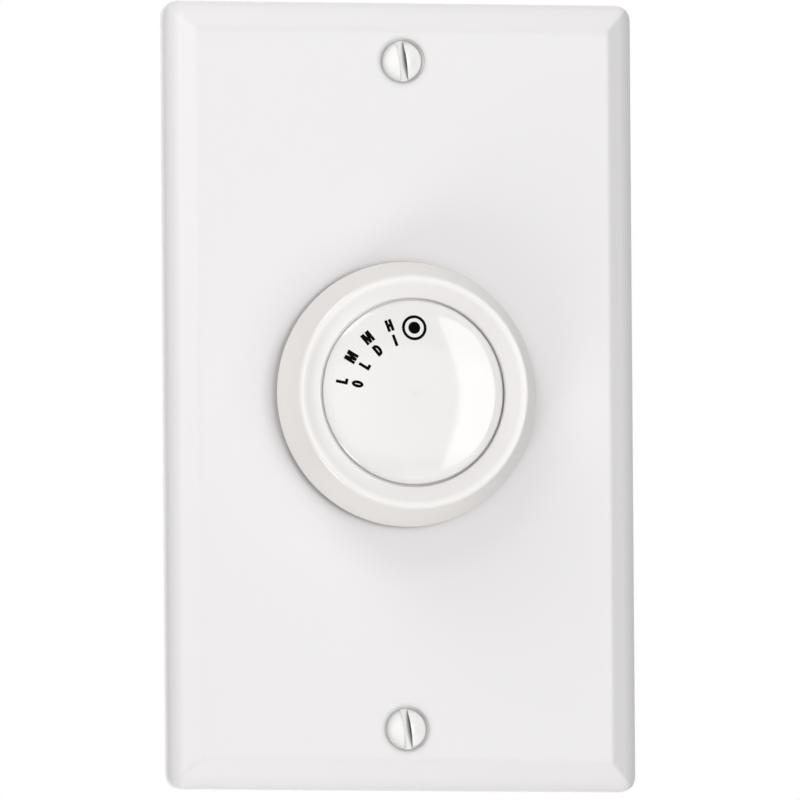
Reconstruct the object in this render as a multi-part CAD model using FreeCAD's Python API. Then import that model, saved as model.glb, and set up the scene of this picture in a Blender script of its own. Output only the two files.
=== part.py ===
import FreeCAD, Part
import math
import os

# Rotary fan speed control for a single wall box, in millimetres.
# The front of the control faces -Y, +X is to the right and +Z is up.
# The origin is on the knob's axis, on the plane of the finished wall (y = 0).
# Names ending in _y are levels along Y. Angles run clockwise from twelve o'clock, seen from the front.

Vector = FreeCAD.Vector

# Fits shared by many pieces
running_fit = 0.05
thread_fit = 0.05
seat_fit = 0.02
press_gap = 0.03
same_level = 1e-6

# Fastening pattern of a single wall box and of its cover plate
box_screw_spacing = 83.34
plate_screw_offset = 6.75
ear_end_margin = 4.78
plate_end_clearance = 2.25

# Number 6 machine screws
screw_radius = 1.75
screw_tip_chamfer = 0.5
plate_screw_length = 12.7
plate_screw_head_radius = 3.0
plate_screw_dome_height = 1.0
countersink_radius = 3.35
countersink_lead = 0.3
countersink_half_angle = 41.0
slot_width = 1.15
slot_depth = 0.95
slot_lean = 8.0
box_screw_length = 25.4
box_screw_head_radius = 3.4
box_screw_head_height = 1.9
box_screw_head_round = 1.1
box_screw_neck_radius = 1.4
retainer_width = 12.0
retainer_height = 8.0
retainer_thickness = 0.4

# Wall plate: a moulded shell with wide sloping edges
plate_width = 69.5
plate_wall = 1.7
plate_rim_depth = 1.7
plate_slope_width = 4.15
plate_corner_radius = 2.3
plate_edge_round = 1.3
plate_face_round = 0.7
plate_boss_radius = 5.2
head_to_plate_gap = 0.2
plate_hole_margin = 1.2
hole_rib_width = 1.2
hole_rib_height = 1.2
plate_rib_width = 1.0
plate_rib_height = 1.1
plate_rib_x = 21.5
plate_rib_z = 26.0

# Mounting strap: a flat steel stamping
strap_thickness = 1.2
strap_panel_width = 40.0
strap_neck_width = 21.0
strap_ear_width = 33.3
strap_corner_radius = 1.6
strap_slot_length = 8.5
strap_slot_clearance = 0.35
ear_hole_radius = 2.1
ear_notch_width = 0.9
ear_notch_depth = 1.6
panel_to_retainer = 0.3

# Ground tab, bent back from the strap, and its screw
ground_tab_height = 8.0
ground_tab_depth = 8.6
ground_tab_clearance = 0.7
ground_tab_step = 0.5
ground_bend_radius = 1.0
ground_screw_length = 6.0
ground_washer_radius = 3.9
ground_washer_thickness = 0.8
ground_hex_flats = 6.35
ground_hex_height = 1.6

# Knob: a tapered skirt with a slightly dished, sloping ring round a cap
knob_gap = 0.8
knob_base_radius = 19.2
knob_rim_radius = 16.9
knob_side_height = 5.5
knob_base_round = 0.3
knob_rim_round = 0.6
knob_ring_width = 3.3
knob_ring_drop = 0.9
knob_ring_dish = 0.06
knob_ring_edge_round = 0.2
knob_skirt_wall = 1.6
knob_web = 1.3
cap_seat_depth = 1.2
knob_boss_wall = 1.9
knob_boss_rise = 0.65
socket_roof = 0.8
knob_to_bushing = 0.4
finger_slot_width = 0.8
finger_slot_angle = 45.0
finger_slot_overrun = 0.7
knob_rib_count = 6
knob_rib_width = 1.0
knob_rib_height = 1.2
clip_wire_radius = 0.45
clip_gap_angle = 60.0
clip_setback = 1.2

# Knob cap: a domed disc with a softly rounded edge
cap_groove_width = 0.3
cap_groove_depth = 0.45
cap_dome_radius = 90.0
cap_edge_width = 1.3
cap_edge_slope = 45.0
cap_edge_round = 0.15
cap_edge_recess = 0.12
cap_wall = 1.3
cap_foot_width = 1.3

# Shaft and bushing
shaft_radius = 3.0
shaft_flat = 1.5
shaft_end_chamfer = 0.4
drive_flat = 2.2
pivot_radius = 1.5
bushing_radius = 4.76
bushing_end = 0.3
bushing_flange_radius = 7.0
bushing_flange_thickness = 1.2
nut_wall = 1.59
nut_thickness = 2.0
washer_thickness = 0.6
washer_band = 1.1
washer_tooth_count = 12
washer_tooth_length = 1.0
ring_thickness = 0.6
ring_radius = 5.6
ring_groove_depth = 0.8
ring_groove_play = 0.05
ring_end_play = 0.1
ring_opening_angle = 80.0
ring_finger_step = 110.0
ring_finger_half_angle = 18.0

# Rotary switch mechanism
layer_gap = 0.35
detent_step = 20.0
detent_radius = 10.0
detent_thickness = 2.0
detent_valley_depth = 0.9
detent_valley_half_angle = 5.5
leaf_thickness = 0.3
leaf_width = 1.6
leaf_lift = 0.3
leaf_nose_radius = 0.85
leaf_seat = 0.65
post_radius = 1.0
rotor_margin = 1.9
rotor_thickness = 2.0
rotor_hub_wall = 2.0
rotor_hub_length = 1.75
rotor_lug_height = 1.2
rotor_lug_half_angle = 7.0
rotor_rim_clearance = 0.3
rotor_peg_radius = 0.7
arm_angle = 180.0
arm_width = 4.5
arm_thickness = 0.5
arm_hub_gap = 0.4
dimple_radius = 0.9
dimple_height = 0.45
spring_coil_radius = 1.4
spring_wire_radius = 0.2
spring_half_turns = 5
spring_pocket_depth = 1.0
speed_count = 4
stop_angle = 80.0
stop_play_angle = 1.0
stop_width_angle = 10.0
contact_radius = 1.45
contact_thickness = 0.8
contact_proud = 0.2
contact_pin_radius = 0.6
common_band = 1.8
base_wall = 1.6
base_floor = 2.6
cover_thickness = 0.8
cover_tab_width = 5.0
cover_foot_length = 2.2
cover_overhang = 0.3
lug_width = 2.8
lug_height = 1.2
lug_to_flange = 1.5
lug_set_back = 0.1

# Circuit board and what it carries
board_to_base = 1.6
board_thickness = 1.6
board_edge_clearance = 0.5
pin_stand_out = 0.7
capacitor_length = 30.0
capacitor_width = 10.0
capacitor_gap = 1.5
capacitor_round = 0.8
capacitor_foot_height = 1.0
capacitor_foot_size = 1.6
lead_radius = 0.4
lead_inset = 3.5
resistor_radius = 1.6
resistor_length = 9.0
resistor_round = 0.5
resistor_stand_off = 0.3
resistor_lead_reach = 2.2

# Terminals on the sides of the housing
terminal_z = 16.0
terminal_width = 9.0
terminal_thickness = 0.8
terminal_front_y = 3.4
terminal_pin_width = 2.0
terminal_tongue_width = 4.0
terminal_pin_inset = 1.8
terminal_screw_radius = 1.9
terminal_head_radius = 3.5
terminal_head_height = 2.2
terminal_head_round = 0.9
terminal_screw_reach = 4.2
terminal_hole_margin = 0.5
terminal_boss_cap = 0.6
barrier_thickness = 1.2
barrier_height = 2.6
barrier_gap = 0.6
terminal_boss_wall = 1.1

# Rear housing and its rivets
housing_depth = 31.4
housing_wall = 1.8
housing_side_margin = 3.15
housing_step_inset = 5.3
housing_step_length = 5.3
housing_corner_round = 1.5
housing_back_round = 1.2
housing_back_clearance = 1.4
flange_length = 4.4
flange_width = 33.0
flange_thickness = 2.4
flange_to_retainer = 0.45
board_post_radius = 2.0
board_post_inset = 2.4
rivet_radius = 1.2
rivet_head_radius = 2.0
rivet_head_height = 0.8
rivet_head_edge = 0.3
rivet_head_top_radius = 1.2
rivet_tail_end_radius = 1.4
rivet_spacing = 24.0

# Levels and sizes worked out from the values above
tan_countersink = math.tan(math.radians(countersink_half_angle))
strap_front_y = -strap_thickness
plate_inside_y = strap_front_y - box_screw_head_height - head_to_plate_gap
plate_front_y = plate_inside_y - plate_wall
plate_depth = -plate_front_y
box_screw_z = box_screw_spacing / 2
plate_screw_z = box_screw_z + plate_screw_offset
strap_end_z = plate_screw_z + ear_end_margin
plate_half_height = strap_end_z + plate_end_clearance + plate_wall
plate_half_width = plate_width / 2

washer_front_y = strap_front_y - washer_thickness
nut_front_y = washer_front_y - nut_thickness
bushing_front_y = nut_front_y - bushing_end
bushing_bore = shaft_radius + running_fit
bushing_hole = bushing_radius + thread_fit
nut_half_flats = bushing_hole + nut_wall
nut_corner = nut_half_flats / math.cos(math.radians(30))
plate_hole_radius = nut_corner + plate_hole_margin

knob_base_y = plate_front_y - knob_gap
knob_rim_y = knob_base_y - knob_side_height
ring_inner_y = knob_rim_y + knob_ring_drop
cap_seat_radius = knob_rim_radius - knob_ring_width
cap_seat_y = ring_inner_y + cap_seat_depth
web_back_y = cap_seat_y + knob_web
boss_top_y = cap_seat_y - knob_boss_rise
boss_bottom_y = bushing_front_y - knob_to_bushing
boss_radius = shaft_radius + running_fit + knob_boss_wall
socket_end_y = boss_top_y + socket_roof
shaft_front_y = socket_end_y + running_fit
clip_y = boss_bottom_y - clip_setback

cover_back_y = cover_thickness
flange_back_y = cover_back_y + bushing_flange_thickness
ring_front_y = flange_back_y + ring_end_play
ring_back_y = ring_front_y + ring_thickness
detent_front_y = ring_back_y + layer_gap
detent_back_y = detent_front_y + detent_thickness
rotor_front_y = detent_back_y + layer_gap
rotor_back_y = rotor_front_y + rotor_thickness
hub_back_y = rotor_back_y + rotor_hub_length
contact_face_y = hub_back_y + running_fit
floor_y = contact_face_y + contact_proud
base_back_y = floor_y + base_floor
board_front_y = base_back_y + board_to_base
board_back_y = board_front_y + board_thickness
pin_end_y = board_back_y + pin_stand_out
housing_inside_y = housing_depth - housing_wall
capacitor_height = housing_inside_y - housing_back_clearance - board_back_y

rotor_radius = detent_radius + rotor_margin
rotor_hub_radius = shaft_radius + rotor_hub_wall
base_inner_radius = rotor_radius + rotor_lug_height + rotor_rim_clearance
base_radius = base_inner_radius + base_wall
tab_inner = base_radius + running_fit
tab_outer = tab_inner + cover_thickness
arm_back_y = contact_face_y - dimple_height - running_fit
arm_front_y = arm_back_y - arm_thickness
arm_start = rotor_hub_radius + arm_hub_gap
common_centre = arm_start + dimple_radius + running_fit
pad_centre = rotor_radius - contact_radius
spring_centre = (common_centre + pad_centre) / 2
leaf_z = detent_radius + leaf_lift
leaf_end_radius = base_inner_radius + leaf_seat
leaf_half_length = math.sqrt(leaf_end_radius ** 2 - (leaf_z + leaf_thickness / 2) ** 2)
lug_inner_radius = bushing_flange_radius + lug_to_flange
lug_outer_radius = lug_inner_radius + lug_height

housing_half_width = tab_outer + housing_side_margin + housing_wall
step_half_width = housing_half_width - housing_step_inset
flange_end_z = box_screw_z - retainer_height / 2 - flange_to_retainer
housing_half_height = flange_end_z - flange_length
housing_step_z = housing_half_height - housing_step_length
panel_half_height = box_screw_z - retainer_height / 2 - panel_to_retainer
rivet_z = (flange_end_z + housing_half_height) / 2
board_half_width = housing_half_width - housing_wall - board_edge_clearance
board_half_height = housing_step_z - housing_wall - board_edge_clearance
tab_outside_x = -(housing_half_width + ground_tab_clearance + strap_thickness)
ground_screw_y = ground_tab_depth - ground_washer_radius
ground_screw_z = -(housing_step_z + ground_tab_step + ground_tab_height / 2)
terminal_back_y = terminal_front_y + terminal_width
terminal_outside_x = housing_half_width + terminal_thickness
terminal_screw_y = terminal_front_y + (terminal_width - terminal_thickness) / 2
pin_x = housing_half_width - housing_wall - terminal_pin_inset


# Shape helpers

def rod(radius, start_y, end_y, x=0.0, z=0.0):
    """A round bar along Y."""
    return Part.makeCylinder(radius, end_y - start_y, Vector(x, start_y, z), Vector(0, 1, 0))


def side_rod(radius, start_x, end_x, y, z):
    """A round bar along X."""
    return Part.makeCylinder(radius, end_x - start_x, Vector(start_x, y, z), Vector(1, 0, 0))


def block(x0, x1, y0, y1, z0, z1):
    return Part.makeBox(x1 - x0, y1 - y0, z1 - z0, Vector(x0, y0, z0))


def turned(start, *moves):
    """A body of revolution about Y, from (radius, y) points.

    A move is the next point of a straight line, or a pair of points for an arc: one on it and its end.
    """
    def place(point):
        return Vector(point[0], point[1], 0)

    edges = []
    here = start
    for move in moves + (start,):
        if isinstance(move[0], tuple):
            through, there = move
            edges.append(Part.Arc(place(here), place(through), place(there)).toShape())
        else:
            there = move
            edges.append(Part.LineSegment(place(here), place(there)).toShape())
        here = there
    return Part.Face(Part.Wire(edges)).revolve(Vector(0, 0, 0), Vector(0, 1, 0), 360)


def prism(outline, start_y, end_y):
    """A bar along Y whose section is a polygon of (x, z) points."""
    points = [Vector(x, start_y, z) for x, z in outline]
    face = Part.Face(Part.makePolygon(points + points[:1]))
    return face.extrude(Vector(0, end_y - start_y, 0))


def around(radius, degrees):
    """The (x, z) of a point on a circle round the axis."""
    angle = math.radians(degrees)
    return radius * math.sin(angle), radius * math.cos(angle)


def sector(inner, outer, first, last, start_y, end_y):
    """Part of a flat ring between two angles."""
    def point(radius, degrees):
        x, z = around(radius, degrees)
        return Vector(x, start_y, z)

    middle = (first + last) / 2
    edges = [
        Part.Arc(point(outer, first), point(outer, middle), point(outer, last)).toShape(),
        Part.LineSegment(point(outer, last), point(inner, last)).toShape(),
        Part.Arc(point(inner, last), point(inner, middle), point(inner, first)).toShape(),
        Part.LineSegment(point(inner, first), point(outer, first)).toShape(),
    ]
    return Part.Face(Part.Wire(edges)).extrude(Vector(0, end_y - start_y, 0))


def turn(shape, degrees):
    """The shape turned clockwise about the knob's axis."""
    turned_copy = shape.copy()
    turned_copy.rotate(Vector(0, 0, 0), Vector(0, 1, 0), degrees)
    return turned_copy


def edges_along_y(shape):
    found = []
    for edge in shape.Edges:
        first, last = edge.Vertexes[0].Point, edge.Vertexes[-1].Point
        if isinstance(edge.Curve, Part.Line) and abs(abs(first.y - last.y) - edge.Length) < same_level:
            found.append(edge)
    return found


def edges_at_y(shape, level):
    return [e for e in shape.Edges if all(abs(v.Y - level) < same_level for v in e.Vertexes)]


def rounded_block(half_width, half_height, radius, start_y, end_y, x=0.0, z=0.0):
    """A rectangular plate with rounded corners, centred on (x, z)."""
    plain = block(x - half_width, x + half_width, start_y, end_y, z - half_height, z + half_height)
    return plain.makeFillet(radius, edges_along_y(plain))


def long_hole(length, half_width, start_y, end_y, z):
    """A hole with round ends, lying along X."""
    half_run = length / 2 - half_width
    hole = block(-half_run, half_run, start_y, end_y, z - half_width, z + half_width)
    for x in (-half_run, half_run):
        hole = hole.fuse(rod(half_width, start_y, end_y, x, z))
    return hole


def hexagon_bar(half_flats, start_y, end_y):
    """A six-sided bar along Y, on the axis."""
    corner = half_flats / math.cos(math.radians(30))
    return prism([around(corner, 60 * number) for number in range(6)], start_y, end_y)


def flatted_rod(radius, flat, start_y, end_y, both_sides):
    """A round bar with one flat towards -Z, or a flat on each side."""
    top = flat if both_sides else radius
    return rod(radius, start_y, end_y).common(block(-radius, radius, start_y, end_y, -flat, top))


def group(shapes):
    """Separate solids that share one name."""
    return Part.makeCompound(shapes)


# Wall plate

def plate_form(inset):
    """The plate's outer form, or its hollow when inset by the wall."""
    slope_angle = math.atan2(plate_depth - plate_rim_depth, plate_slope_width)
    half_width = plate_half_width - inset
    half_height = plate_half_height - inset
    rim_y = -plate_rim_depth + inset * math.tan((math.pi / 2 - slope_angle) / 2)
    face_y = plate_front_y + inset
    slope_run = (rim_y - face_y) / math.tan(slope_angle)
    slope = Part.makeWedge(
        -half_width + slope_run, face_y, -half_height + slope_run,
        -half_height, -half_width,
        half_width - slope_run, rim_y, half_height - slope_run,
        half_height, half_width,
    )
    rim = block(-half_width, half_width, rim_y, 0, -half_height, half_height)
    return rim.fuse(slope).removeSplitter()


def wall_plate():
    """One moulding: sloping edges, a hole behind the knob and two countersunk screw holes."""
    outer = plate_form(0)
    corners = edges_along_y(outer)
    outer = outer.makeFillet(plate_corner_radius, corners)
    outer = outer.makeFillet(plate_edge_round, edges_at_y(outer, -plate_rim_depth))
    outer = outer.makeFillet(plate_face_round, edges_at_y(outer, plate_front_y))
    plate = outer.cut(plate_form(plate_wall))
    root_y = plate_inside_y - press_gap
    plate = plate.fuse(rod(plate_hole_radius + hole_rib_width, root_y, plate_inside_y + hole_rib_height))
    half_rib = plate_rib_width / 2
    rib_top_y = plate_inside_y + plate_rib_height
    rib_reach_x = plate_half_width - plate_slope_width - plate_wall
    rib_reach_z = plate_half_height - plate_slope_width - plate_wall
    for side in (-1, 1):
        x = side * plate_rib_x
        z = side * plate_rib_z
        plate = plate.fuse(block(x - half_rib, x + half_rib, root_y, rib_top_y, -rib_reach_z,
                                 rib_reach_z))
        plate = plate.fuse(block(-rib_reach_x, rib_reach_x, root_y, rib_top_y, z - half_rib,
                                 z + half_rib))
    for side in (-1, 1):
        z = side * plate_screw_z
        boss = rod(plate_boss_radius, root_y, strap_front_y - press_gap, 0, z)
        head_room = rod(box_screw_head_radius + head_to_plate_gap, plate_inside_y, 0, 0,
                        side * box_screw_z)
        plate = plate.fuse(boss.cut(head_room))
    plate = plate.cut(rod(plate_hole_radius, plate_front_y - 1, 0))
    for side in (-1, 1):
        hole_radius = screw_radius + strap_slot_clearance
        depth = countersink_lead + (countersink_radius - hole_radius) / tan_countersink
        countersink = turned(
            (0, plate_front_y - 1),
            (countersink_radius, plate_front_y - 1),
            (countersink_radius, plate_front_y + countersink_lead),
            (hole_radius, plate_front_y + depth),
            (hole_radius, 0),
            (0, 0),
        )
        countersink.translate(Vector(0, 0, side * plate_screw_z))
        plate = plate.cut(countersink)
    return plate.removeSplitter()


def slot_cutter(top_y, bottom_y, reach):
    """The screwdriver slot, leaning a little from upright."""
    return turn(block(-slot_width / 2, slot_width / 2, top_y, bottom_y, -reach, reach), -slot_lean)


def plate_screw():
    """A slotted screw with a countersunk, domed head."""
    sunk = (countersink_radius - seat_fit - plate_screw_head_radius) / tan_countersink
    rim_y = plate_front_y + countersink_lead + sunk
    neck_y = rim_y + (plate_screw_head_radius - screw_radius) / tan_countersink
    tip_y = rim_y + plate_screw_length
    half = plate_screw_head_radius / 2
    dome_radius = (4 * half ** 2 + plate_screw_dome_height ** 2) / (2 * plate_screw_dome_height)
    dome_at_half = rim_y - plate_screw_dome_height + dome_radius - math.sqrt(dome_radius ** 2 - half ** 2)
    screw = turned(
        (0, rim_y - plate_screw_dome_height),
        ((half, dome_at_half), (plate_screw_head_radius, rim_y)),
        (screw_radius, neck_y),
        (screw_radius, tip_y - screw_tip_chamfer),
        (screw_radius - screw_tip_chamfer, tip_y),
        (0, tip_y),
    )
    head_top_y = rim_y - plate_screw_dome_height
    return screw.cut(slot_cutter(head_top_y - 1, head_top_y + slot_depth, plate_screw_head_radius + 1))


def plate_screws():
    screws = []
    for side in (-1, 1):
        screw = plate_screw()
        screw.translate(Vector(0, 0, side * plate_screw_z))
        screws.append(screw)
    return group(screws)


# Knob

def knob_body():
    """The tapered skirt with its ring, the web under the cap and the slotted boss on the shaft."""
    taper = math.atan2(knob_base_radius - knob_rim_radius, knob_side_height)
    ring_slope = math.atan2(knob_ring_drop, knob_ring_width)
    corner = math.pi / 2 + taper - ring_slope
    back_off = knob_rim_round / math.tan(corner / 2)
    side_point = (knob_rim_radius + back_off * math.sin(taper), knob_rim_y + back_off * math.cos(taper))
    ring_point = (knob_rim_radius - back_off * math.cos(ring_slope),
                  knob_rim_y + back_off * math.sin(ring_slope))
    reach = knob_rim_round / math.sin(corner / 2) - knob_rim_round
    bisector = corner / 2 - taper
    crown_point = (knob_rim_radius - reach * math.sin(bisector), knob_rim_y + reach * math.cos(bisector))
    inner_edge = (cap_seat_radius + knob_ring_edge_round,
                  ring_inner_y - knob_ring_edge_round * math.tan(ring_slope))
    ring_middle = ((ring_point[0] + inner_edge[0]) / 2 + knob_ring_dish * math.sin(ring_slope),
                   (ring_point[1] + inner_edge[1]) / 2 + knob_ring_dish * math.cos(ring_slope))
    inner_base = knob_base_radius - knob_skirt_wall
    inner_top = inner_base - (knob_base_y - web_back_y) * math.tan(taper)
    body = turned(
        (0, boss_top_y),
        (boss_radius, boss_top_y),
        (boss_radius, cap_seat_y),
        (cap_seat_radius, cap_seat_y),
        (cap_seat_radius, ring_inner_y + knob_ring_edge_round),
        inner_edge,
        (ring_middle, ring_point),
        (crown_point, side_point),
        (knob_base_radius, knob_base_y - knob_base_round),
        (knob_base_radius - knob_base_round, knob_base_y),
        (inner_base, knob_base_y),
        (inner_top, web_back_y),
        (boss_radius, web_back_y),
        (boss_radius, boss_bottom_y),
        (0, boss_bottom_y),
    )
    rib = block(-knob_rib_width / 2, knob_rib_width / 2, web_back_y - press_gap,
                web_back_y + knob_rib_height, boss_radius - press_gap, inner_top + press_gap)
    for number in range(knob_rib_count):
        body = body.fuse(turn(rib, number * 360 / knob_rib_count))
    socket = flatted_rod(shaft_radius + running_fit, shaft_flat + running_fit, socket_end_y,
                         boss_bottom_y, False)
    body = body.cut(socket)
    finger_slot = block(-boss_radius - 1, boss_radius + 1, clip_y - finger_slot_overrun,
                        boss_bottom_y + 1,
                        -finger_slot_width / 2, finger_slot_width / 2)
    for angle in (finger_slot_angle, finger_slot_angle + 90):
        body = body.cut(turn(finger_slot, angle))
    groove = Part.makeTorus(boss_radius + clip_wire_radius / 2, clip_wire_radius + press_gap,
                            Vector(0, clip_y, 0), Vector(0, 1, 0))
    return body.cut(groove).removeSplitter()


def dome_level(apex_y, radius):
    """The height of the cap's dome at a distance from the axis."""
    return apex_y + cap_dome_radius - math.sqrt(cap_dome_radius ** 2 - radius ** 2)


def knob_cap():
    """The domed disc, set in the ring with a fine groove round it."""
    edge_radius = cap_seat_radius - cap_groove_width
    dome_end = edge_radius - cap_edge_width
    dome_slope = math.asin(dome_end / cap_dome_radius)
    end_slope = math.radians(cap_edge_slope)
    corner_width = cap_edge_round * (1 - math.sin(end_slope))
    round_end = edge_radius - corner_width
    round_radius = (round_end - dome_end) / (math.sin(end_slope) - math.sin(dome_slope))
    edge_y = ring_inner_y + cap_edge_recess
    round_y = edge_y + round_radius * math.cos(end_slope)
    round_x = dome_end - round_radius * math.sin(dome_slope)
    dome_end_y = round_y - round_radius * math.cos(dome_slope)
    middle_slope = (dome_slope + end_slope) / 2
    round_middle = (round_x + round_radius * math.sin(middle_slope),
                    round_y - round_radius * math.cos(middle_slope))
    corner_y = edge_y + cap_edge_round * math.cos(end_slope)
    corner_slope = (end_slope + math.pi / 2) / 2
    corner_middle = (edge_radius - cap_edge_round * (1 - math.sin(corner_slope)),
                     corner_y - cap_edge_round * math.cos(corner_slope))
    apex_y = dome_end_y - cap_dome_radius * (1 - math.cos(dome_slope))
    dome_middle = (dome_end / 2, dome_level(apex_y, dome_end / 2))
    foot_radius = cap_seat_radius - press_gap
    foot_y = edge_y + cap_groove_depth
    hollow_radius = foot_radius - cap_foot_width
    under_edge = dome_end - cap_foot_width
    under_middle = (under_edge / 2, dome_level(apex_y, under_edge / 2) + cap_wall)
    return turned(
        (0, apex_y),
        (dome_middle, (dome_end, dome_end_y)),
        (round_middle, (round_end, edge_y)),
        (corner_middle, (edge_radius, corner_y)),
        (edge_radius, foot_y),
        (foot_radius, foot_y),
        (foot_radius, cap_seat_y),
        (hollow_radius, cap_seat_y),
        (under_edge, dome_level(apex_y, under_edge) + cap_wall),
        (under_middle, (0, apex_y + cap_wall)),
    )


def knob_clip():
    """An open wire ring that squeezes the boss onto the shaft."""
    ring = Part.makeTorus(boss_radius + clip_wire_radius / 2, clip_wire_radius, Vector(0, clip_y, 0),
                          Vector(0, 1, 0))
    far = 2 * boss_radius
    half_gap = far * math.tan(math.radians(clip_gap_angle / 2))
    opening = prism([(0, 0), (-half_gap, far), (half_gap, far)], clip_y - 1, clip_y + 1)
    return ring.cut(opening)


# Strap, its screws and the washers that hold them

def mounting_strap():
    """A stamped steel strap with a wide middle, narrow necks and broad end ears."""
    back = 0.0
    panel = rounded_block(strap_panel_width / 2, panel_half_height, strap_corner_radius, strap_front_y,
                          back)
    neck = block(-strap_neck_width / 2, strap_neck_width / 2, strap_front_y, back, -strap_end_z + 1,
                 strap_end_z - 1)
    strap = panel.fuse(neck)
    ear_half_height = (strap_end_z - box_screw_z - screw_radius) / 2
    for side in (-1, 1):
        ear_z = side * (strap_end_z - ear_half_height)
        ear = rounded_block(strap_ear_width / 2, ear_half_height, strap_corner_radius, strap_front_y,
                            back, 0, ear_z)
        strap = strap.fuse(ear)
    strap = strap.removeSplitter()
    tab_z = (ground_screw_z - ground_tab_height / 2, ground_screw_z + ground_tab_height / 2)
    strap = strap.fuse(ground_tab(*tab_z))
    for side in (-1, 1):
        strap = strap.cut(long_hole(strap_slot_length, screw_radius + strap_slot_clearance,
                                    strap_front_y - 1, back + 1, side * box_screw_z))
        strap = strap.cut(rod(screw_radius + thread_fit, strap_front_y - 1, back + 1, 0,
                              side * plate_screw_z))
        for hand in (-1, 1):
            ear_x = hand * (strap_neck_width + strap_ear_width) / 4
            strap = strap.cut(rod(ear_hole_radius, strap_front_y - 1, back + 1, ear_x,
                                  side * plate_screw_z))
            notch_x = hand * (strap_neck_width / 2 - ear_notch_width / 2)
            notch = block(notch_x - ear_notch_width / 2, notch_x + ear_notch_width / 2,
                          strap_front_y - 1, back + 1,
                          strap_end_z - ear_notch_depth, strap_end_z + 1)
            strap = strap.cut(notch if side > 0 else turn(notch, 180))
            rivet_x = hand * rivet_spacing / 2
            strap = strap.cut(rod(rivet_radius + seat_fit, strap_front_y - 1, back + 1, rivet_x,
                                  side * rivet_z))
    strap = strap.cut(rod(bushing_hole, strap_front_y - 1, back + 1))
    lug_hole = block(-lug_width / 2 - press_gap, lug_width / 2 + press_gap, strap_front_y - 1, back + 1,
                     -lug_outer_radius - press_gap, -lug_inner_radius + press_gap)
    return strap.cut(lug_hole).removeSplitter()


def ground_tab(low_z, high_z):
    """A tab on the strap's edge, bent back along the housing, with a tapped hole."""
    inner_bend = ground_bend_radius
    outer_bend = ground_bend_radius + strap_thickness
    left = tab_outside_x
    inside = left + strap_thickness
    start = -strap_panel_width / 2 + 1
    diagonal = math.sqrt(0.5)

    def point(x, y):
        return Vector(x, y, low_z)

    bend_x = left + outer_bend
    bend_y = strap_front_y + outer_bend
    edges = [
        Part.LineSegment(point(start, strap_front_y), point(bend_x, strap_front_y)).toShape(),
        Part.Arc(point(bend_x, strap_front_y),
                 point(bend_x - outer_bend * diagonal, bend_y - outer_bend * diagonal),
                 point(left, bend_y)).toShape(),
        Part.LineSegment(point(left, bend_y), point(left, ground_tab_depth)).toShape(),
        Part.LineSegment(point(left, ground_tab_depth), point(inside, ground_tab_depth)).toShape(),
        Part.LineSegment(point(inside, ground_tab_depth), point(inside, bend_y)).toShape(),
        Part.Arc(point(inside, bend_y),
                 point(bend_x - inner_bend * diagonal, bend_y - inner_bend * diagonal),
                 point(bend_x, 0)).toShape(),
        Part.LineSegment(point(bend_x, 0), point(start, 0)).toShape(),
        Part.LineSegment(point(start, 0), point(start, strap_front_y)).toShape(),
    ]
    tab = Part.Face(Part.Wire(edges)).extrude(Vector(0, 0, high_z - low_z))
    return tab.cut(side_rod(screw_radius + thread_fit, left - 1, inside + 1, ground_screw_y,
                            ground_screw_z))


def ground_screw():
    """A washer-head hexagon screw in the ground tab."""
    y, z = ground_screw_y, ground_screw_z
    washer_x = tab_outside_x - ground_washer_thickness
    shank = side_rod(screw_radius, tab_outside_x, tab_outside_x + ground_screw_length, y, z)
    washer = side_rod(ground_washer_radius, washer_x, tab_outside_x, y, z)
    head = hexagon_bar(ground_hex_flats / 2, washer_x - ground_hex_height, washer_x)
    head.rotate(Vector(0, 0, 0), Vector(0, 0, 1), -90)
    head.translate(Vector(0, y, z))
    return head.fuse(washer).fuse(shank).removeSplitter()


def box_screws():
    """Slotted pan-head screws with a thin neck, so that the washers behind the strap hold them."""
    screws = []
    thread_y = retainer_thickness + thread_fit
    tip_y = strap_front_y + box_screw_length
    top_y = strap_front_y - box_screw_head_height
    round_centre = (box_screw_head_radius - box_screw_head_round, top_y + box_screw_head_round)
    diagonal = box_screw_head_round * math.sqrt(0.5)
    for side in (-1, 1):
        screw = turned(
            (0, top_y),
            (round_centre[0], top_y),
            ((round_centre[0] + diagonal, round_centre[1] - diagonal),
             (box_screw_head_radius, round_centre[1])),
            (box_screw_head_radius, strap_front_y),
            (box_screw_neck_radius, strap_front_y),
            (box_screw_neck_radius, thread_y),
            (screw_radius, thread_y),
            (screw_radius, tip_y - screw_tip_chamfer),
            (screw_radius - screw_tip_chamfer, tip_y),
            (0, tip_y),
        )
        screw = screw.cut(slot_cutter(top_y - 1, top_y + slot_depth, box_screw_head_radius + 1))
        screw.translate(Vector(0, 0, side * box_screw_z))
        screws.append(screw)
    return group(screws)


def screw_retainers():
    """Thin fibre squares behind the strap that keep the box screws in it."""
    washers = []
    for side in (-1, 1):
        z = side * box_screw_z
        square = rounded_block(retainer_width / 2, retainer_height / 2, strap_corner_radius / 2,
                               0, retainer_thickness, 0, z)
        washers.append(square.cut(rod(box_screw_neck_radius + thread_fit, -1, retainer_thickness + 1, 0,
                                      z)))
    return group(washers)


# Bushing, nut and washer that clamp the switch to the strap

def shaft_bushing():
    """A flanged tube: the shaft turns in it and its thread passes through the strap."""
    chamfer = bushing_end
    return turned(
        (bushing_bore, bushing_front_y),
        (bushing_radius - chamfer, bushing_front_y),
        (bushing_radius, bushing_front_y + chamfer),
        (bushing_radius, cover_back_y),
        (bushing_flange_radius, cover_back_y),
        (bushing_flange_radius, flange_back_y),
        (bushing_bore, flange_back_y),
    )


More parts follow.
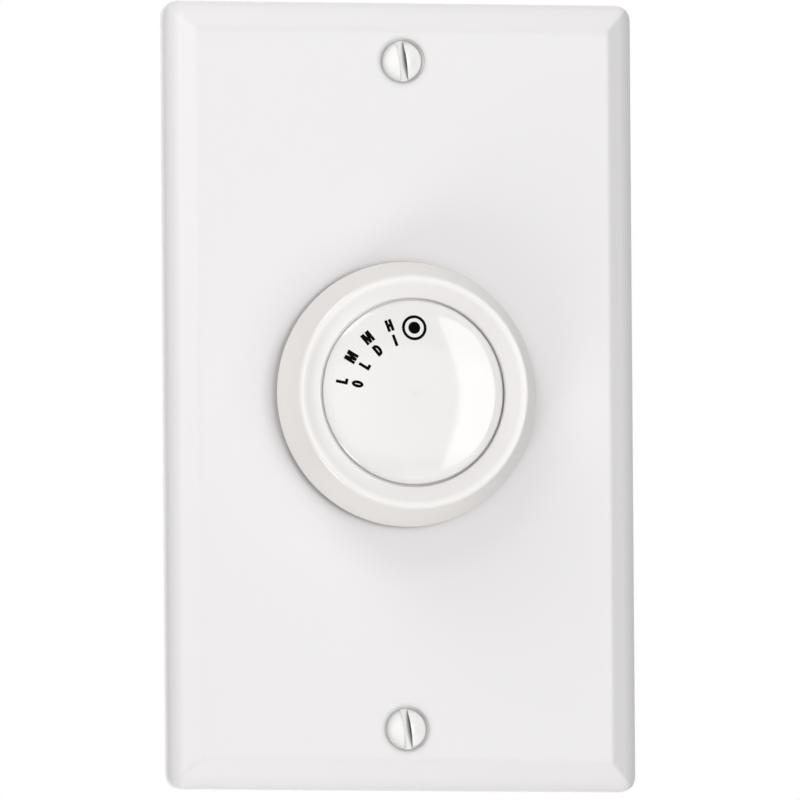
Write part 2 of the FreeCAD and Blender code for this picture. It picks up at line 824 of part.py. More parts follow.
def bushing_nut():
    """A thin hexagon nut with its corners turned off on the front."""
    hexagon = hexagon_bar(nut_half_flats, nut_front_y, washer_front_y)
    rise = (nut_corner - nut_half_flats) * math.tan(math.radians(30))
    crown = turned(
        (0, nut_front_y),
        (nut_half_flats, nut_front_y),
        (nut_corner, nut_front_y + rise),
        (nut_corner, washer_front_y),
        (0, washer_front_y),
    )
    return hexagon.common(crown).cut(rod(bushing_hole, nut_front_y - 1, washer_front_y + 1))


def lock_washer():
    """A flat ring with teeth on its inside edge."""
    band_inner = bushing_hole + washer_tooth_length
    washer = rod(band_inner + washer_band, washer_front_y, strap_front_y)
    washer = washer.cut(rod(band_inner, washer_front_y - 1, strap_front_y + 1))
    pitch = 360 / washer_tooth_count
    for number in range(washer_tooth_count):
        centre = number * pitch
        washer = washer.fuse(sector(bushing_hole, band_inner + press_gap, centre - pitch / 4,
                                    centre + pitch / 4,
                                    washer_front_y, strap_front_y))
    return washer.removeSplitter()


# Shaft and the ring that keeps it in the bushing

def switch_shaft():
    """One turned bar: a flatted end for the knob, a ring groove, two drive flats and a pivot."""
    groove_front = ring_front_y - ring_groove_play
    groove_back = ring_back_y + ring_groove_play
    chamfer = shaft_end_chamfer
    tip = turned(
        (0, shaft_front_y),
        (shaft_radius - chamfer, shaft_front_y),
        (shaft_radius, shaft_front_y + chamfer),
        (shaft_radius, boss_bottom_y),
        (0, boss_bottom_y),
    )
    flat = block(-shaft_radius, shaft_radius, shaft_front_y, boss_bottom_y, -shaft_flat, shaft_radius)
    shaft = tip.common(flat)
    shaft = shaft.fuse(rod(shaft_radius, boss_bottom_y, groove_front))
    shaft = shaft.fuse(rod(shaft_radius - ring_groove_depth, groove_front, groove_back))
    shaft = shaft.fuse(flatted_rod(shaft_radius, drive_flat, groove_back, hub_back_y, True))
    return shaft.fuse(rod(pivot_radius, hub_back_y, base_back_y)).removeSplitter()


def shaft_clip():
    """A spring ring, open at one side, with three fingers that grip the shaft's groove."""
    grip = shaft_radius - ring_groove_depth + press_gap
    band_inner = shaft_radius + ring_groove_depth
    half_opening = ring_opening_angle / 2
    clip = sector(band_inner, ring_radius, half_opening, 360 - half_opening, ring_front_y, ring_back_y)
    for place in (-1, 0, 1):
        angle = 180 + place * ring_finger_step
        clip = clip.fuse(sector(grip, band_inner + press_gap, angle - ring_finger_half_angle,
                                angle + ring_finger_half_angle, ring_front_y, ring_back_y))
    return clip.removeSplitter()


# Rotary switch

def switch_cover():
    """A pressed steel lid with four tabs folded over the back of the base and a locating lug."""
    cover = rod(base_radius + cover_overhang, 0, cover_thickness)
    half = cover_tab_width / 2
    foot_y = base_back_y + press_gap
    tab_back_y = foot_y + cover_thickness
    arm = block(-half, half, 0, tab_back_y, tab_inner, tab_outer)
    foot = block(-half, half, foot_y, tab_back_y, tab_inner - cover_foot_length, tab_outer)
    bridge = block(-half, half, 0, cover_thickness, base_radius - 1, tab_outer)
    tab = arm.fuse(foot).fuse(bridge)
    for number in range(4):
        cover = cover.fuse(turn(tab, 90 * number))
    cover = cover.fuse(block(-lug_width / 2, lug_width / 2, strap_front_y + lug_set_back, cover_thickness,
                             -lug_outer_radius, -lug_inner_radius))
    return cover.cut(rod(bushing_hole, -1, cover_thickness + 1)).removeSplitter()


def drive_hole(start_y, end_y):
    return flatted_rod(shaft_radius + press_gap, drive_flat + press_gap, start_y, end_y, True)


def detent_wheel():
    """A star wheel with a valley for each step of the knob."""
    low = detent_radius - detent_valley_depth
    edges = []

    def point(radius, degrees):
        x, z = around(radius, degrees)
        return Vector(x, detent_front_y, z)

    steps = round(360 / detent_step)
    for number in range(steps):
        valley = number * 360 / steps
        start = valley - detent_valley_half_angle
        end = valley + detent_valley_half_angle
        following = start + 360 / steps
        edges.append(Part.Arc(point(detent_radius, start), point(low, valley),
                              point(detent_radius, end)).toShape())
        edges.append(Part.Arc(point(detent_radius, end), point(detent_radius, (end + following) / 2),
                              point(detent_radius, following)).toShape())
    wheel = Part.Face(Part.Wire(edges)).extrude(Vector(0, detent_thickness, 0))
    return wheel.cut(drive_hole(detent_front_y - 1, detent_back_y + 1))


def detent_spring():
    """A leaf whose pressed nose rests in a valley of the star wheel and whose ends lie under two posts."""
    start_y = (detent_front_y + detent_back_y - leaf_width) / 2
    low, high = leaf_z, leaf_z + leaf_thickness
    outer, inner = leaf_nose_radius, leaf_nose_radius - leaf_thickness
    nose_z = detent_radius - detent_valley_depth + running_fit + leaf_nose_radius

    def point(x, z):
        return Vector(x, start_y, z)

    def line(a, b):
        return Part.LineSegment(point(*a), point(*b)).toShape()

    edges = [
        line((-leaf_half_length, low), (-outer, low)),
        line((-outer, low), (-outer, nose_z)),
        Part.Arc(point(-outer, nose_z), point(0, nose_z - outer), point(outer, nose_z)).toShape(),
        line((outer, nose_z), (outer, low)),
        line((outer, low), (leaf_half_length, low)),
        line((leaf_half_length, low), (leaf_half_length, high)),
        line((leaf_half_length, high), (inner, high)),
        line((inner, high), (inner, nose_z)),
        Part.Arc(point(inner, nose_z), point(0, nose_z - inner), point(-inner, nose_z)).toShape(),
        line((-inner, nose_z), (-inner, high)),
        line((-inner, high), (-leaf_half_length, high)),
        line((-leaf_half_length, high), (-leaf_half_length, low)),
    ]
    return Part.Face(Part.Wire(edges)).extrude(Vector(0, leaf_width, 0))


def rotor():
    """The moulded carrier: a disc with a hub, a stop lug, a spring pocket and two pegs for the arm."""
    body = rod(rotor_radius, rotor_front_y, rotor_back_y)
    body = body.fuse(rod(rotor_hub_radius, rotor_back_y, hub_back_y))
    lug = sector(rotor_radius - 1, rotor_radius + rotor_lug_height, stop_angle - rotor_lug_half_angle,
                 stop_angle + rotor_lug_half_angle, rotor_front_y, rotor_back_y)
    body = body.fuse(lug)
    peg_x = arm_width / 2 + running_fit + rotor_peg_radius
    for hand in (-1, 1):
        peg = rod(rotor_peg_radius, rotor_back_y - press_gap, arm_back_y, hand * peg_x, spring_centre)
        body = body.fuse(turn(peg, arm_angle))
    body = body.cut(drive_hole(rotor_front_y - 1, hub_back_y + 1))
    pocket = rod(spring_coil_radius + spring_wire_radius + running_fit,
                 rotor_back_y - spring_pocket_depth,
                 rotor_back_y + 1, 0, spring_centre)
    return body.cut(turn(pocket, arm_angle)).removeSplitter()


def rotor_contact():
    """The bronze arm that joins the common contact to one speed contact through two dimples."""
    arm = block(-arm_width / 2, arm_width / 2, arm_front_y, arm_back_y, arm_start, rotor_radius)
    sphere_radius = (dimple_radius ** 2 + dimple_height ** 2) / (2 * dimple_height)
    sphere_y = arm_back_y + dimple_height - sphere_radius
    for centre in (common_centre, pad_centre):
        ball = Part.makeSphere(sphere_radius, Vector(0, sphere_y, centre))
        cap = ball.common(rod(2 * sphere_radius, arm_back_y - arm_thickness / 2, arm_back_y + 1, 0,
                              centre))
        arm = arm.fuse(cap)
    return turn(arm.removeSplitter(), arm_angle)


def contact_spring():
    """A small coil spring in the rotor's pocket, behind the arm.

    It is made of half turns, each tilted so that it climbs from one side of the coil to the other.
    """
    first_y = rotor_back_y - spring_pocket_depth + spring_wire_radius + running_fit
    last_y = arm_front_y - spring_wire_radius - running_fit
    climb = (last_y - first_y) / spring_half_turns
    half_turns = []
    for number in range(spring_half_turns):
        side = -1 if number % 2 else 1
        start = Vector(side * spring_coil_radius, first_y + number * climb, spring_centre)
        centre = Vector(0, start.y + climb / 2, spring_centre)
        axis = Vector(side * climb, 2 * spring_coil_radius, 0)
        section = Part.Face(Part.Wire(Part.makeCircle(spring_wire_radius, start, Vector(0, 0, 1))))
        half_turns.append(section.revolve(centre, axis, 180))
    coil = half_turns[0].fuse(half_turns[1:]).removeSplitter()
    return turn(coil, arm_angle)


def speed_angle(number):
    """Where the arm stands when the knob has turned by this many steps."""
    return arm_angle + number * detent_step


def speed_contact(number):
    """A round contact let into the base, with a pin through to the board."""
    x, z = around(pad_centre, speed_angle(number))
    head = rod(contact_radius, contact_face_y, contact_face_y + contact_thickness, x, z)
    return head.fuse(rod(contact_pin_radius, contact_face_y + contact_thickness, pin_end_y, x,
                         z)).removeSplitter()


def common_sector(fit, end_y):
    first = speed_angle(0) - detent_step / 2
    last = speed_angle(speed_count) + detent_step / 2
    inner = common_centre - common_band / 2 - fit
    outer = common_centre + common_band / 2 + fit
    margin = math.degrees(fit / inner)
    return sector(inner, outer, first - margin, last + margin, contact_face_y, end_y)


def common_pin(radius, end_y):
    x, z = around(common_centre, speed_angle(speed_count / 2))
    return rod(radius, contact_face_y + contact_thickness / 2, end_y, x, z)


def common_contact():
    """The curved track that stays under the arm at every speed."""
    track = common_sector(0, contact_face_y + contact_thickness)
    return track.fuse(common_pin(contact_pin_radius, pin_end_y)).removeSplitter()


def switch_base():
    """The moulded cup that holds the contacts, the leaf spring and the shaft's rear pivot."""
    front_y = cover_back_y + running_fit
    base = rod(base_radius, front_y, base_back_y)
    base = base.cut(rod(base_inner_radius, front_y - 1, floor_y))
    half_lug = rotor_lug_half_angle + stop_play_angle
    stop_inner = rotor_radius + rotor_rim_clearance
    first_stop = stop_angle - half_lug
    last_stop = 2 * stop_angle + half_lug
    for start, end in ((first_stop - stop_width_angle, first_stop),
                       (last_stop, last_stop + stop_width_angle)):
        stop = sector(stop_inner, base_inner_radius + base_wall / 2, start, end, rotor_front_y,
                      floor_y + press_gap)
        base = base.fuse(stop)
    post_x = leaf_half_length - post_radius
    post_z = leaf_z + leaf_thickness + running_fit + post_radius
    for hand in (-1, 1):
        base = base.fuse(rod(post_radius, detent_front_y, floor_y + press_gap, hand * post_x, post_z))
    pocket = leaf_half_length + running_fit
    base = base.cut(block(-pocket, pocket, front_y - 1, detent_back_y + running_fit,
                          leaf_z - running_fit, leaf_z + leaf_thickness + running_fit))
    base = base.cut(rod(pivot_radius + running_fit, floor_y - 1, base_back_y + 1))
    for number in range(1, speed_count + 1):
        x, z = around(pad_centre, speed_angle(number))
        base = base.cut(rod(contact_radius + seat_fit, floor_y - 1, contact_face_y + contact_thickness,
                            x, z))
        base = base.cut(rod(contact_pin_radius + seat_fit, floor_y, base_back_y + 1, x, z))
    base = base.cut(common_sector(seat_fit, contact_face_y + contact_thickness))
    base = base.cut(common_pin(contact_pin_radius + seat_fit, base_back_y + 1))
    return base.removeSplitter()


# Circuit board with its capacitors and resistors

def capacitor_z(row):
    return row * (capacitor_width + capacitor_gap)


def resistor_z(side):
    return side * (capacitor_z(1) + capacitor_width / 2 + capacitor_gap / 2 + resistor_radius)


def capacitor_leads(radius, row, start_y, end_y):
    lead_x = capacitor_length / 2 - lead_inset
    return [rod(radius, start_y, end_y, hand * lead_x, capacitor_z(row)) for hand in (-1, 1)]


def capacitor(row):
    """A boxed film capacitor standing on four small feet, with two leads through the board."""
    z = capacitor_z(row)
    start_y = board_back_y + capacitor_foot_height
    end_y = board_back_y + capacitor_height
    half_length = capacitor_length / 2
    half_width = capacitor_width / 2
    box = block(-half_length, half_length, start_y, end_y, z - half_width, z + half_width)
    box = box.makeFillet(capacitor_round, edges_along_y(box) + edges_at_y(box, end_y))
    half_foot = capacitor_foot_size / 2
    for hand in (-1, 1):
        for side in (-1, 1):
            x = hand * (half_length - capacitor_round - half_foot)
            foot_z = z + side * (half_width - capacitor_round - half_foot)
            box = box.fuse(block(x - half_foot, x + half_foot, board_back_y, start_y + press_gap,
                                 foot_z - half_foot, foot_z + half_foot))
    for lead in capacitor_leads(lead_radius, row, board_front_y - pin_stand_out, start_y + press_gap):
        box = box.fuse(lead)
    return box.removeSplitter()


def resistor_lead_x():
    return resistor_length / 2 + resistor_lead_reach


def bleed_resistor(side):
    """A small resistor lying on the board with both leads bent down through it."""
    y = board_back_y + resistor_stand_off + resistor_radius
    z = resistor_z(side)
    lead_x = resistor_lead_x()
    resistor = side_rod(resistor_radius, -resistor_length / 2, resistor_length / 2, y, z)
    resistor = resistor.makeFillet(resistor_round, resistor.Edges)
    resistor = resistor.fuse(side_rod(lead_radius, -lead_x, lead_x, y, z))
    for hand in (-1, 1):
        resistor = resistor.fuse(rod(lead_radius, board_front_y - pin_stand_out, y, hand * lead_x, z))
        resistor = resistor.fuse(Part.makeSphere(lead_radius, Vector(hand * lead_x, y, z)))
    return resistor.removeSplitter()


def circuit_board():
    """A flat board, soldered to the contact pins and resting on the housing's posts."""
    board = rounded_block(board_half_width, board_half_height, board_edge_clearance, board_front_y,
                          board_back_y)
    through = (board_front_y - 1, board_back_y + 1)
    for number in range(1, speed_count + 1):
        board = board.cut(rod(contact_pin_radius + running_fit, *through,
                              *around(pad_centre, speed_angle(number))))
    board = board.cut(rod(contact_pin_radius + running_fit, *through,
                          *around(common_centre, speed_angle(speed_count / 2))))
    for row in (-1, 0, 1):
        for hole in capacitor_leads(lead_radius + running_fit, row, *through):
            board = board.cut(hole)
    for side in (-1, 1):
        for hand in (-1, 1):
            board = board.cut(rod(lead_radius + running_fit, *through, hand * resistor_lead_x(),
                                  resistor_z(side)))
    slot_half = terminal_pin_width / 2 + running_fit
    for hand in (-1, 1):
        inner = hand * (pin_x - terminal_thickness - running_fit)
        outer = hand * (pin_x + running_fit)
        board = board.cut(block(min(inner, outer), max(inner, outer), *through,
                                terminal_z - slot_half, terminal_z + slot_half))
    return board


# Terminals

def mirrored(shape, hand):
    """The shape on the right for hand 1, or its mirror image on the left for -1."""
    return shape if hand > 0 else shape.mirror(Vector(0, 0, 0), Vector(1, 0, 0))


def terminal(hand):
    """A brass plate on the housing's side, with a tongue through the wall and a pin to the board."""
    z = terminal_z
    half = terminal_width / 2
    tongue = terminal_tongue_width / 2
    pin = terminal_pin_width / 2
    tongue_y = terminal_back_y - terminal_thickness
    plate = block(housing_half_width, terminal_outside_x, terminal_front_y, terminal_back_y, z - half,
                  z + half)
    bridge = block(pin_x - terminal_thickness, terminal_outside_x, tongue_y, terminal_back_y, z - tongue,
                   z + tongue)
    leg = block(pin_x - terminal_thickness, pin_x, tongue_y, pin_end_y, z - pin, z + pin)
    piece = plate.fuse(bridge).fuse(leg)
    hole = side_rod(terminal_screw_radius + thread_fit, housing_half_width - 1, terminal_outside_x + 1,
                    terminal_screw_y, z)
    return mirrored(piece.cut(hole).removeSplitter(), hand)


def terminal_screws():
    """Slotted binding-head screws, one in each terminal plate."""
    screws = []
    for hand in (-1, 1):
        tip_x = housing_half_width - terminal_screw_reach
        head_x = terminal_outside_x + terminal_head_height
        shank = side_rod(terminal_screw_radius, tip_x, terminal_outside_x, terminal_screw_y, terminal_z)
        head = side_rod(terminal_head_radius, terminal_outside_x, head_x, terminal_screw_y, terminal_z)
        rims = [e for e in head.Edges if all(abs(v.X - head_x) < same_level for v in e.Vertexes)]
        head = head.makeFillet(terminal_head_round, rims)
        screw = head.fuse(shank)
        slot = block(head_x - slot_depth, head_x + 1,
                     terminal_screw_y - slot_width / 2, terminal_screw_y + slot_width / 2,
                     terminal_z - terminal_head_radius - 1, terminal_z + terminal_head_radius + 1)
        screws.append(mirrored(screw.cut(slot).removeSplitter(), hand))
    return group(screws)


# Rear housing and its rivets

def stepped_form(inset, start_y, end_y):
    """The housing's outline: wide in the middle, narrower at both ends to clear the box's corners."""
    wide = block(-housing_half_width + inset, housing_half_width - inset, start_y, end_y,
                 -housing_step_z + inset, housing_step_z - inset)
    narrow = block(-step_half_width + inset, step_half_width - inset, start_y, end_y,
                   -housing_half_height + inset, housing_half_height - inset)
    return wide.fuse(narrow).removeSplitter()


def rear_housing():
    """A deep moulded box, open at the front, with end flanges, board posts and terminal barriers."""
    outer = stepped_form(0, 0, housing_depth)
    outer = outer.makeFillet(housing_corner_round, edges_along_y(outer))
    outer = outer.makeFillet(housing_back_round, edges_at_y(outer, housing_depth))
    flange = rounded_block(flange_width / 2, flange_end_z, housing_corner_round, 0, flange_thickness)
    housing = outer.fuse(flange)
    barrier_root = housing_half_width - housing_wall / 2
    barrier_end = housing_half_width + barrier_height
    barrier_z = terminal_width / 2 + barrier_gap
    for hand in (-1, 1):
        for side in (-1, 1):
            z = terminal_z + side * (barrier_z + barrier_thickness / 2)
            wall = block(barrier_root, barrier_end, 0, terminal_back_y + barrier_gap + barrier_thickness,
                         z - barrier_thickness / 2, z + barrier_thickness / 2)
            housing = housing.fuse(mirrored(wall, hand))
        floor_start = terminal_back_y + barrier_gap
        floor = block(barrier_root, barrier_end, floor_start, floor_start + barrier_thickness,
                      terminal_z - barrier_z - barrier_thickness / 2,
                      terminal_z + barrier_z + barrier_thickness / 2)
        housing = housing.fuse(mirrored(floor, hand))
    inside = stepped_form(housing_wall, -1, housing_inside_y)
    inside = inside.makeFillet(housing_corner_round / 2, edges_along_y(inside))
    housing = housing.cut(inside)
    for hand in (-1, 1):
        for side in (-1, 1):
            post_x = hand * (board_half_width - board_post_inset)
            post_z = side * (board_half_height - board_post_inset)
            housing = housing.fuse(rod(board_post_radius, board_back_y, housing_inside_y + press_gap,
                                       post_x, post_z))
            rivet_x = hand * rivet_spacing / 2
            housing = housing.cut(rod(rivet_radius + seat_fit, -1, flange_thickness + 1, rivet_x,
                                      side * rivet_z))
    tongue_half = terminal_tongue_width / 2 + running_fit
    for hand in (-1, 1):
        hole_end = housing_half_width - terminal_screw_reach - terminal_hole_margin
        hole_radius = terminal_screw_radius + running_fit
        boss = side_rod(hole_radius + terminal_boss_wall, hole_end - terminal_boss_cap, barrier_root,
                        terminal_screw_y, terminal_z)
        hole = side_rod(hole_radius, hole_end, housing_half_width + 1, terminal_screw_y, terminal_z)
        slit = block(housing_half_width - housing_wall - 1, housing_half_width + 1,
                     terminal_back_y - terminal_thickness - running_fit, terminal_back_y + running_fit,
                     terminal_z - tongue_half, terminal_z + tongue_half)
        housing = housing.fuse(mirrored(boss, hand)).cut(mirrored(hole, hand)).cut(mirrored(slit, hand))
    return housing.removeSplitter()


def housing_rivets():
    """Four rivets through the strap and the housing's flanges."""
    rivets = []
    for side in (-1, 1):
        for hand in (-1, 1):
            rivet = turned(
                (0, strap_front_y - rivet_head_height),
                (rivet_head_top_radius, strap_front_y - rivet_head_height),
                (rivet_head_radius, strap_front_y - rivet_head_edge),
                (rivet_head_radius, strap_front_y),
                (rivet_radius, strap_front_y),
                (rivet_radius, flange_thickness),
                (rivet_head_radius, flange_thickness),
                (rivet_tail_end_radius, flange_thickness + rivet_head_height),
                (0, flange_thickness + rivet_head_height),
            )
            rivet.translate(Vector(hand * rivet_spacing / 2, 0, side * rivet_z))
            rivets.append(rivet)
    return group(rivets)


pieces = {
    "wall_plate": wall_plate(),
    "plate_screws": plate_screws(),
    "knob_body": knob_body(),
    "knob_cap": knob_cap(),
    "knob_clip": knob_clip(),
    "mounting_strap": mounting_strap(),
    "box_screws": box_screws(),
    "screw_retainers": screw_retainers(),
    "ground_screw": ground_screw(),
    "shaft_bushing": shaft_bushing(),
    "bushing_nut": bushing_nut(),
    "lock_washer": lock_washer(),
    "switch_shaft": switch_shaft(),
    "shaft_clip": shaft_clip(),
    "switch_cover": switch_cover(),
    "detent_wheel": detent_wheel(),
    "detent_spring": detent_spring(),
    "rotor": rotor(),
    "rotor_contact": rotor_contact(),
    "contact_spring": contact_spring(),
    "switch_base": switch_base(),
    "common_contact": common_contact(),
    "circuit_board": circuit_board(),
    "terminal_left": terminal(-1),
    "terminal_right": terminal(1),
    "terminal_screws": terminal_screws(),
    "rear_housing": rear_housing(),
    "housing_rivets": housing_rivets(),
}
for number, name in enumerate(("high", "medium", "medium_low", "low"), start=1):
    pieces["contact_" + name] = speed_contact(number)
for row, name in ((1, "upper"), (0, "middle"), (-1, "lower")):
    pieces["capacitor_" + name] = capacitor(row)
for side, name in ((1, "upper"), (-1, "lower")):
    pieces["bleed_resistor_" + name] = bleed_resistor(side)

os.makedirs("parts", exist_ok=True)
for name, shape in pieces.items():
    shape.exportStep("parts/" + name + ".step")
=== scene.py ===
import math

import bmesh
import bpy
from mathutils import Matrix, Quaternion, Vector


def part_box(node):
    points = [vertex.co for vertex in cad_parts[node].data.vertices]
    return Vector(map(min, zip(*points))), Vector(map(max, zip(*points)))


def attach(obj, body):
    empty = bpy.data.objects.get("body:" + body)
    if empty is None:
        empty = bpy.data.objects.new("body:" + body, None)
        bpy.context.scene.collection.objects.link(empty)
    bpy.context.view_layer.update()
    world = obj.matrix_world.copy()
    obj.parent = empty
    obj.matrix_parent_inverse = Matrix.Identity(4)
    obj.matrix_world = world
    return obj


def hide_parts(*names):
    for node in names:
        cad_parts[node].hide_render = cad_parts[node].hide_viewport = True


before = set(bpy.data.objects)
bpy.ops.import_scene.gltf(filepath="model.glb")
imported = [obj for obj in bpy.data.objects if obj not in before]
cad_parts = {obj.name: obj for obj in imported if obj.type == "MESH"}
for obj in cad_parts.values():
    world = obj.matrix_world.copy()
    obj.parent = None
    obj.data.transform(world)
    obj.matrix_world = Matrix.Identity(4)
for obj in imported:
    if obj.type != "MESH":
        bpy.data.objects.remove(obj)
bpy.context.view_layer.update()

# A rotary fan speed control in its wall plate, in metres. The front faces -Y, +X is to the right
# and +Z is up; the knob turns about Y through the origin.
scene = bpy.context.scene
scene.view_settings.view_transform = "Standard"
mm = 0.001


# The room. A plain pale floor lies well below the control, and white lies all round it, so that the
# control is seen against white. The floor is small, so that the control can be looked at from below.
# The white that the camera and the reflections see is brighter than the light that it gives.
floor_z = -0.65
floor_half_size = 0.40
floor_colour = (0.80, 0.80, 0.79, 1.0)
floor_roughness = 0.9
surround_glow = 0.16


def wired(tree, kind, inputs=(), **options):
    """A node in a tree.

    inputs pairs its sockets with values or with other nodes' sockets; options are its settings.
    """
    node = tree.nodes.new(kind)
    for label, value in options.items():
        setattr(node, label, value)
    for label, value in dict(inputs).items():
        if hasattr(value, "is_output"):
            tree.links.new(value, node.inputs[label])
        else:
            node.inputs[label].default_value = value
    return node


def worked_out(tree, operation, *values):
    """The result of a sum on numbers and sockets."""
    return wired(tree, "ShaderNodeMath", enumerate(values), operation=operation).outputs[0]


floor_mesh = bpy.data.meshes.new("floor")
floor_mesh.from_pydata([(x * floor_half_size, y * floor_half_size, floor_z)
                        for x, y in ((-1, -1), (1, -1), (1, 1), (-1, 1))], [], [(0, 1, 2, 3)])
floor = bpy.data.objects.new("floor", floor_mesh)
scene.collection.objects.link(floor)
floor_paint = bpy.data.materials.new("floor_paint")
floor_paint.use_nodes = True
painted = floor_paint.node_tree.nodes["Principled BSDF"].inputs
painted["Base Color"].default_value = floor_colour
painted["Roughness"].default_value = floor_roughness
floor_mesh.materials.append(floor_paint)

surround = bpy.data.worlds.new("surround")
surround.use_nodes = True
scene.world = surround
sky = surround.node_tree
ray = wired(sky, "ShaderNodeLightPath").outputs
seen = worked_out(sky, "MAXIMUM", ray["Is Camera Ray"], ray["Is Glossy Ray"])
seen = worked_out(sky, "MAXIMUM", seen, ray["Is Transmission Ray"])
glow = sky.nodes["Background"].inputs
glow["Color"].default_value = (1.0, 1.0, 1.0, 1.0)
level = worked_out(sky, "MULTIPLY_ADD", seen, 1.0 - surround_glow, surround_glow)
sky.links.new(level, glow["Strength"])


# The lamps. A tall soft box on the right makes the bright crescent on the knob's cap. Boxes above and
# below on the left, one of them near, make the plate's tone fall off towards the right. Weaker ones
# fill from the front and the lower right, and a wide one lights the back.
lamps = {
    # name: azimuth, elevation, width, height in degrees; distance in metres; brightness, 1 is white
    "right_box": (29.5, 3.5, 17.0, 40.0, 1.5, 4.88),
    "front_box": (12.0, 0.0, 48.0, 24.0, 1.5, 1.36),
    "low_right_box": (36.0, -28.0, 48.0, 24.0, 1.5, 1.23),
    "far_upper_box": (-60.0, 56.0, 48.0, 24.0, 1.5, 3.90),
    "near_upper_box": (-72.0, 56.0, 24.0, 24.0, 0.4, 3.55),
    "low_left_box": (-72.0, -56.0, 36.0, 36.0, 1.5, 8.6),
    "rear_box": (180.0, 0.0, 96.0, 96.0, 1.5, 0.85),
}


def toward(azimuth, elevation):
    """The direction from the control to a lamp or the camera; azimuth 0 is straight in front of it."""
    across, up = math.radians(azimuth), math.radians(elevation)
    return Vector((math.sin(across) * math.cos(up), -math.cos(across) * math.cos(up), math.sin(up)))


for name, (azimuth, elevation, width, height, distance, brightness) in lamps.items():
    lamp = bpy.data.lights.new(name, "AREA")
    lamp.shape = "RECTANGLE"
    lamp.size = 2 * distance * math.tan(math.radians(width / 2))
    lamp.size_y = 2 * distance * math.tan(math.radians(height / 2))
    lamp.energy = brightness * math.pi * lamp.size * lamp.size_y
    holder = bpy.data.objects.new(name, lamp)
    holder.location = toward(azimuth, elevation) * distance
    holder.rotation_euler = (-toward(azimuth, elevation)).to_track_quat("-Z", "Y").to_euler()
    scene.collection.objects.link(holder)


# The camera looks up a little from the left of the control. It stands far off behind a long lens, so
# that the plate's sides stay parallel in the picture, and it is rolled by a small angle.
camera_azimuth = -13.0
camera_elevation = -4.0
camera_distance = 4.825
camera_roll = -0.394
camera_lens = 1500.0
camera_reach = 100.0
aim_right = 0.43 * mm
aim_up = -0.40 * mm

camera = bpy.data.objects.new("camera", bpy.data.cameras.new("camera"))
scene.collection.objects.link(camera)
scene.camera = camera
camera.data.lens = camera_lens
camera.data.clip_end = camera_reach
sight = toward(camera_azimuth, camera_elevation)
turn = (-sight).to_track_quat("-Z", "Y") @ Quaternion((0, 0, 1), math.radians(camera_roll))
camera.rotation_euler = turn.to_euler()
camera.location = sight * camera_distance + turn @ Vector((aim_right, aim_up, 0))


# The rear housing is a deep black cup moulded in thermoplastic, with a fine spark-eroded grain. Two
# rivets at each end, of zinc-plated steel, hold its flanges to the strap.
drift_detail, grain_detail = 3.0, 2.0
wear_patch_scale, wear_patch_detail = 900.0, 3.0
edge_starts, edge_full = 0.53, 0.62
number, colour, direction = "NodeSocketFloat", "NodeSocketColor", "NodeSocketVector"


def shader_group(name, inputs, outputs):
    """A shader node group with named inputs and outputs: its tree, what it is given, what it makes."""
    tree = bpy.data.node_groups.new(name, "ShaderNodeTree")
    for way, sockets in (("INPUT", inputs), ("OUTPUT", outputs)):
        for label, kind in sockets.items():
            tree.interface.new_socket(label, in_out=way, socket_type=kind)
    return tree, tree.nodes.new("NodeGroupInput").outputs, tree.nodes.new("NodeGroupOutput").inputs


def noise(tree, place, scale, detail):
    """A noise of about one value per 1/scale metres."""
    return wired(tree, "ShaderNodeTexNoise",
                 {"Vector": place, "Scale": scale, "Detail": detail}).outputs["Fac"]


def between(tree, value, low, high):
    """How far a value lies between two others, from 0 to 1."""
    return wired(tree, "ShaderNodeMapRange",
                 {"Value": value, "From Min": low, "From Max": high}).outputs["Result"]


def shaded(tree, tint, other, factor, blend="MIX"):
    """Two colours mixed by a factor. A Mix node's colours are its inputs 6 and 7 and its output 2."""
    return wired(tree, "ShaderNodeMix", {0: factor, 6: tint, 7: other},
                 data_type="RGBA", blend_type=blend).outputs[2]


# Moulded surface: slow drifts of tone and gloss from the flow of the plastic, and a fine grain.
moulded, given, made = shader_group(
    "moulded_surface",
    {"Colour": colour, "Drift": number, "Drift Size": number, "Grain Size": number,
     "Roughness": number, "Roughness Drift": number},
    {"Colour": colour, "Roughness": number, "Relief": number})
place = wired(moulded, "ShaderNodeTexCoord").outputs["Object"]
drift = noise(moulded, place, worked_out(moulded, "DIVIDE", 1.0, given["Drift Size"]), drift_detail)
grain = noise(moulded, place, worked_out(moulded, "DIVIDE", 1.0, given["Grain Size"]), grain_detail)
centred = worked_out(moulded, "MULTIPLY_ADD", drift, 2.0, -1.0)
tone = worked_out(moulded, "MULTIPLY_ADD", centred, given["Drift"], 1.0)
gloss = worked_out(moulded, "MULTIPLY_ADD", centred, given["Roughness Drift"], given["Roughness"])
moulded.links.new(shaded(moulded, given["Colour"], tone, 1.0, "MULTIPLY"), made["Colour"])
moulded.links.new(gloss, made["Roughness"])
moulded.links.new(grain, made["Relief"])

# Edge wear: the tone that shows, in patches, where corners and rims have rubbed.
worn, given, made = shader_group(
    "worn_edges", {"Colour": colour, "Edge Colour": colour, "Wear": number}, {"Colour": colour})
place = wired(worn, "ShaderNodeTexCoord").outputs["Object"]
patches = noise(worn, place, wear_patch_scale, wear_patch_detail)
convex = wired(worn, "ShaderNodeNewGeometry").outputs["Pointiness"]
bared = worked_out(worn, "MULTIPLY", between(worn, convex, edge_starts, edge_full), patches)
bared = worked_out(worn, "MULTIPLY", bared, given["Wear"])
worn.links.new(shaded(worn, given["Colour"], given["Edge Colour"], bared), made["Colour"])


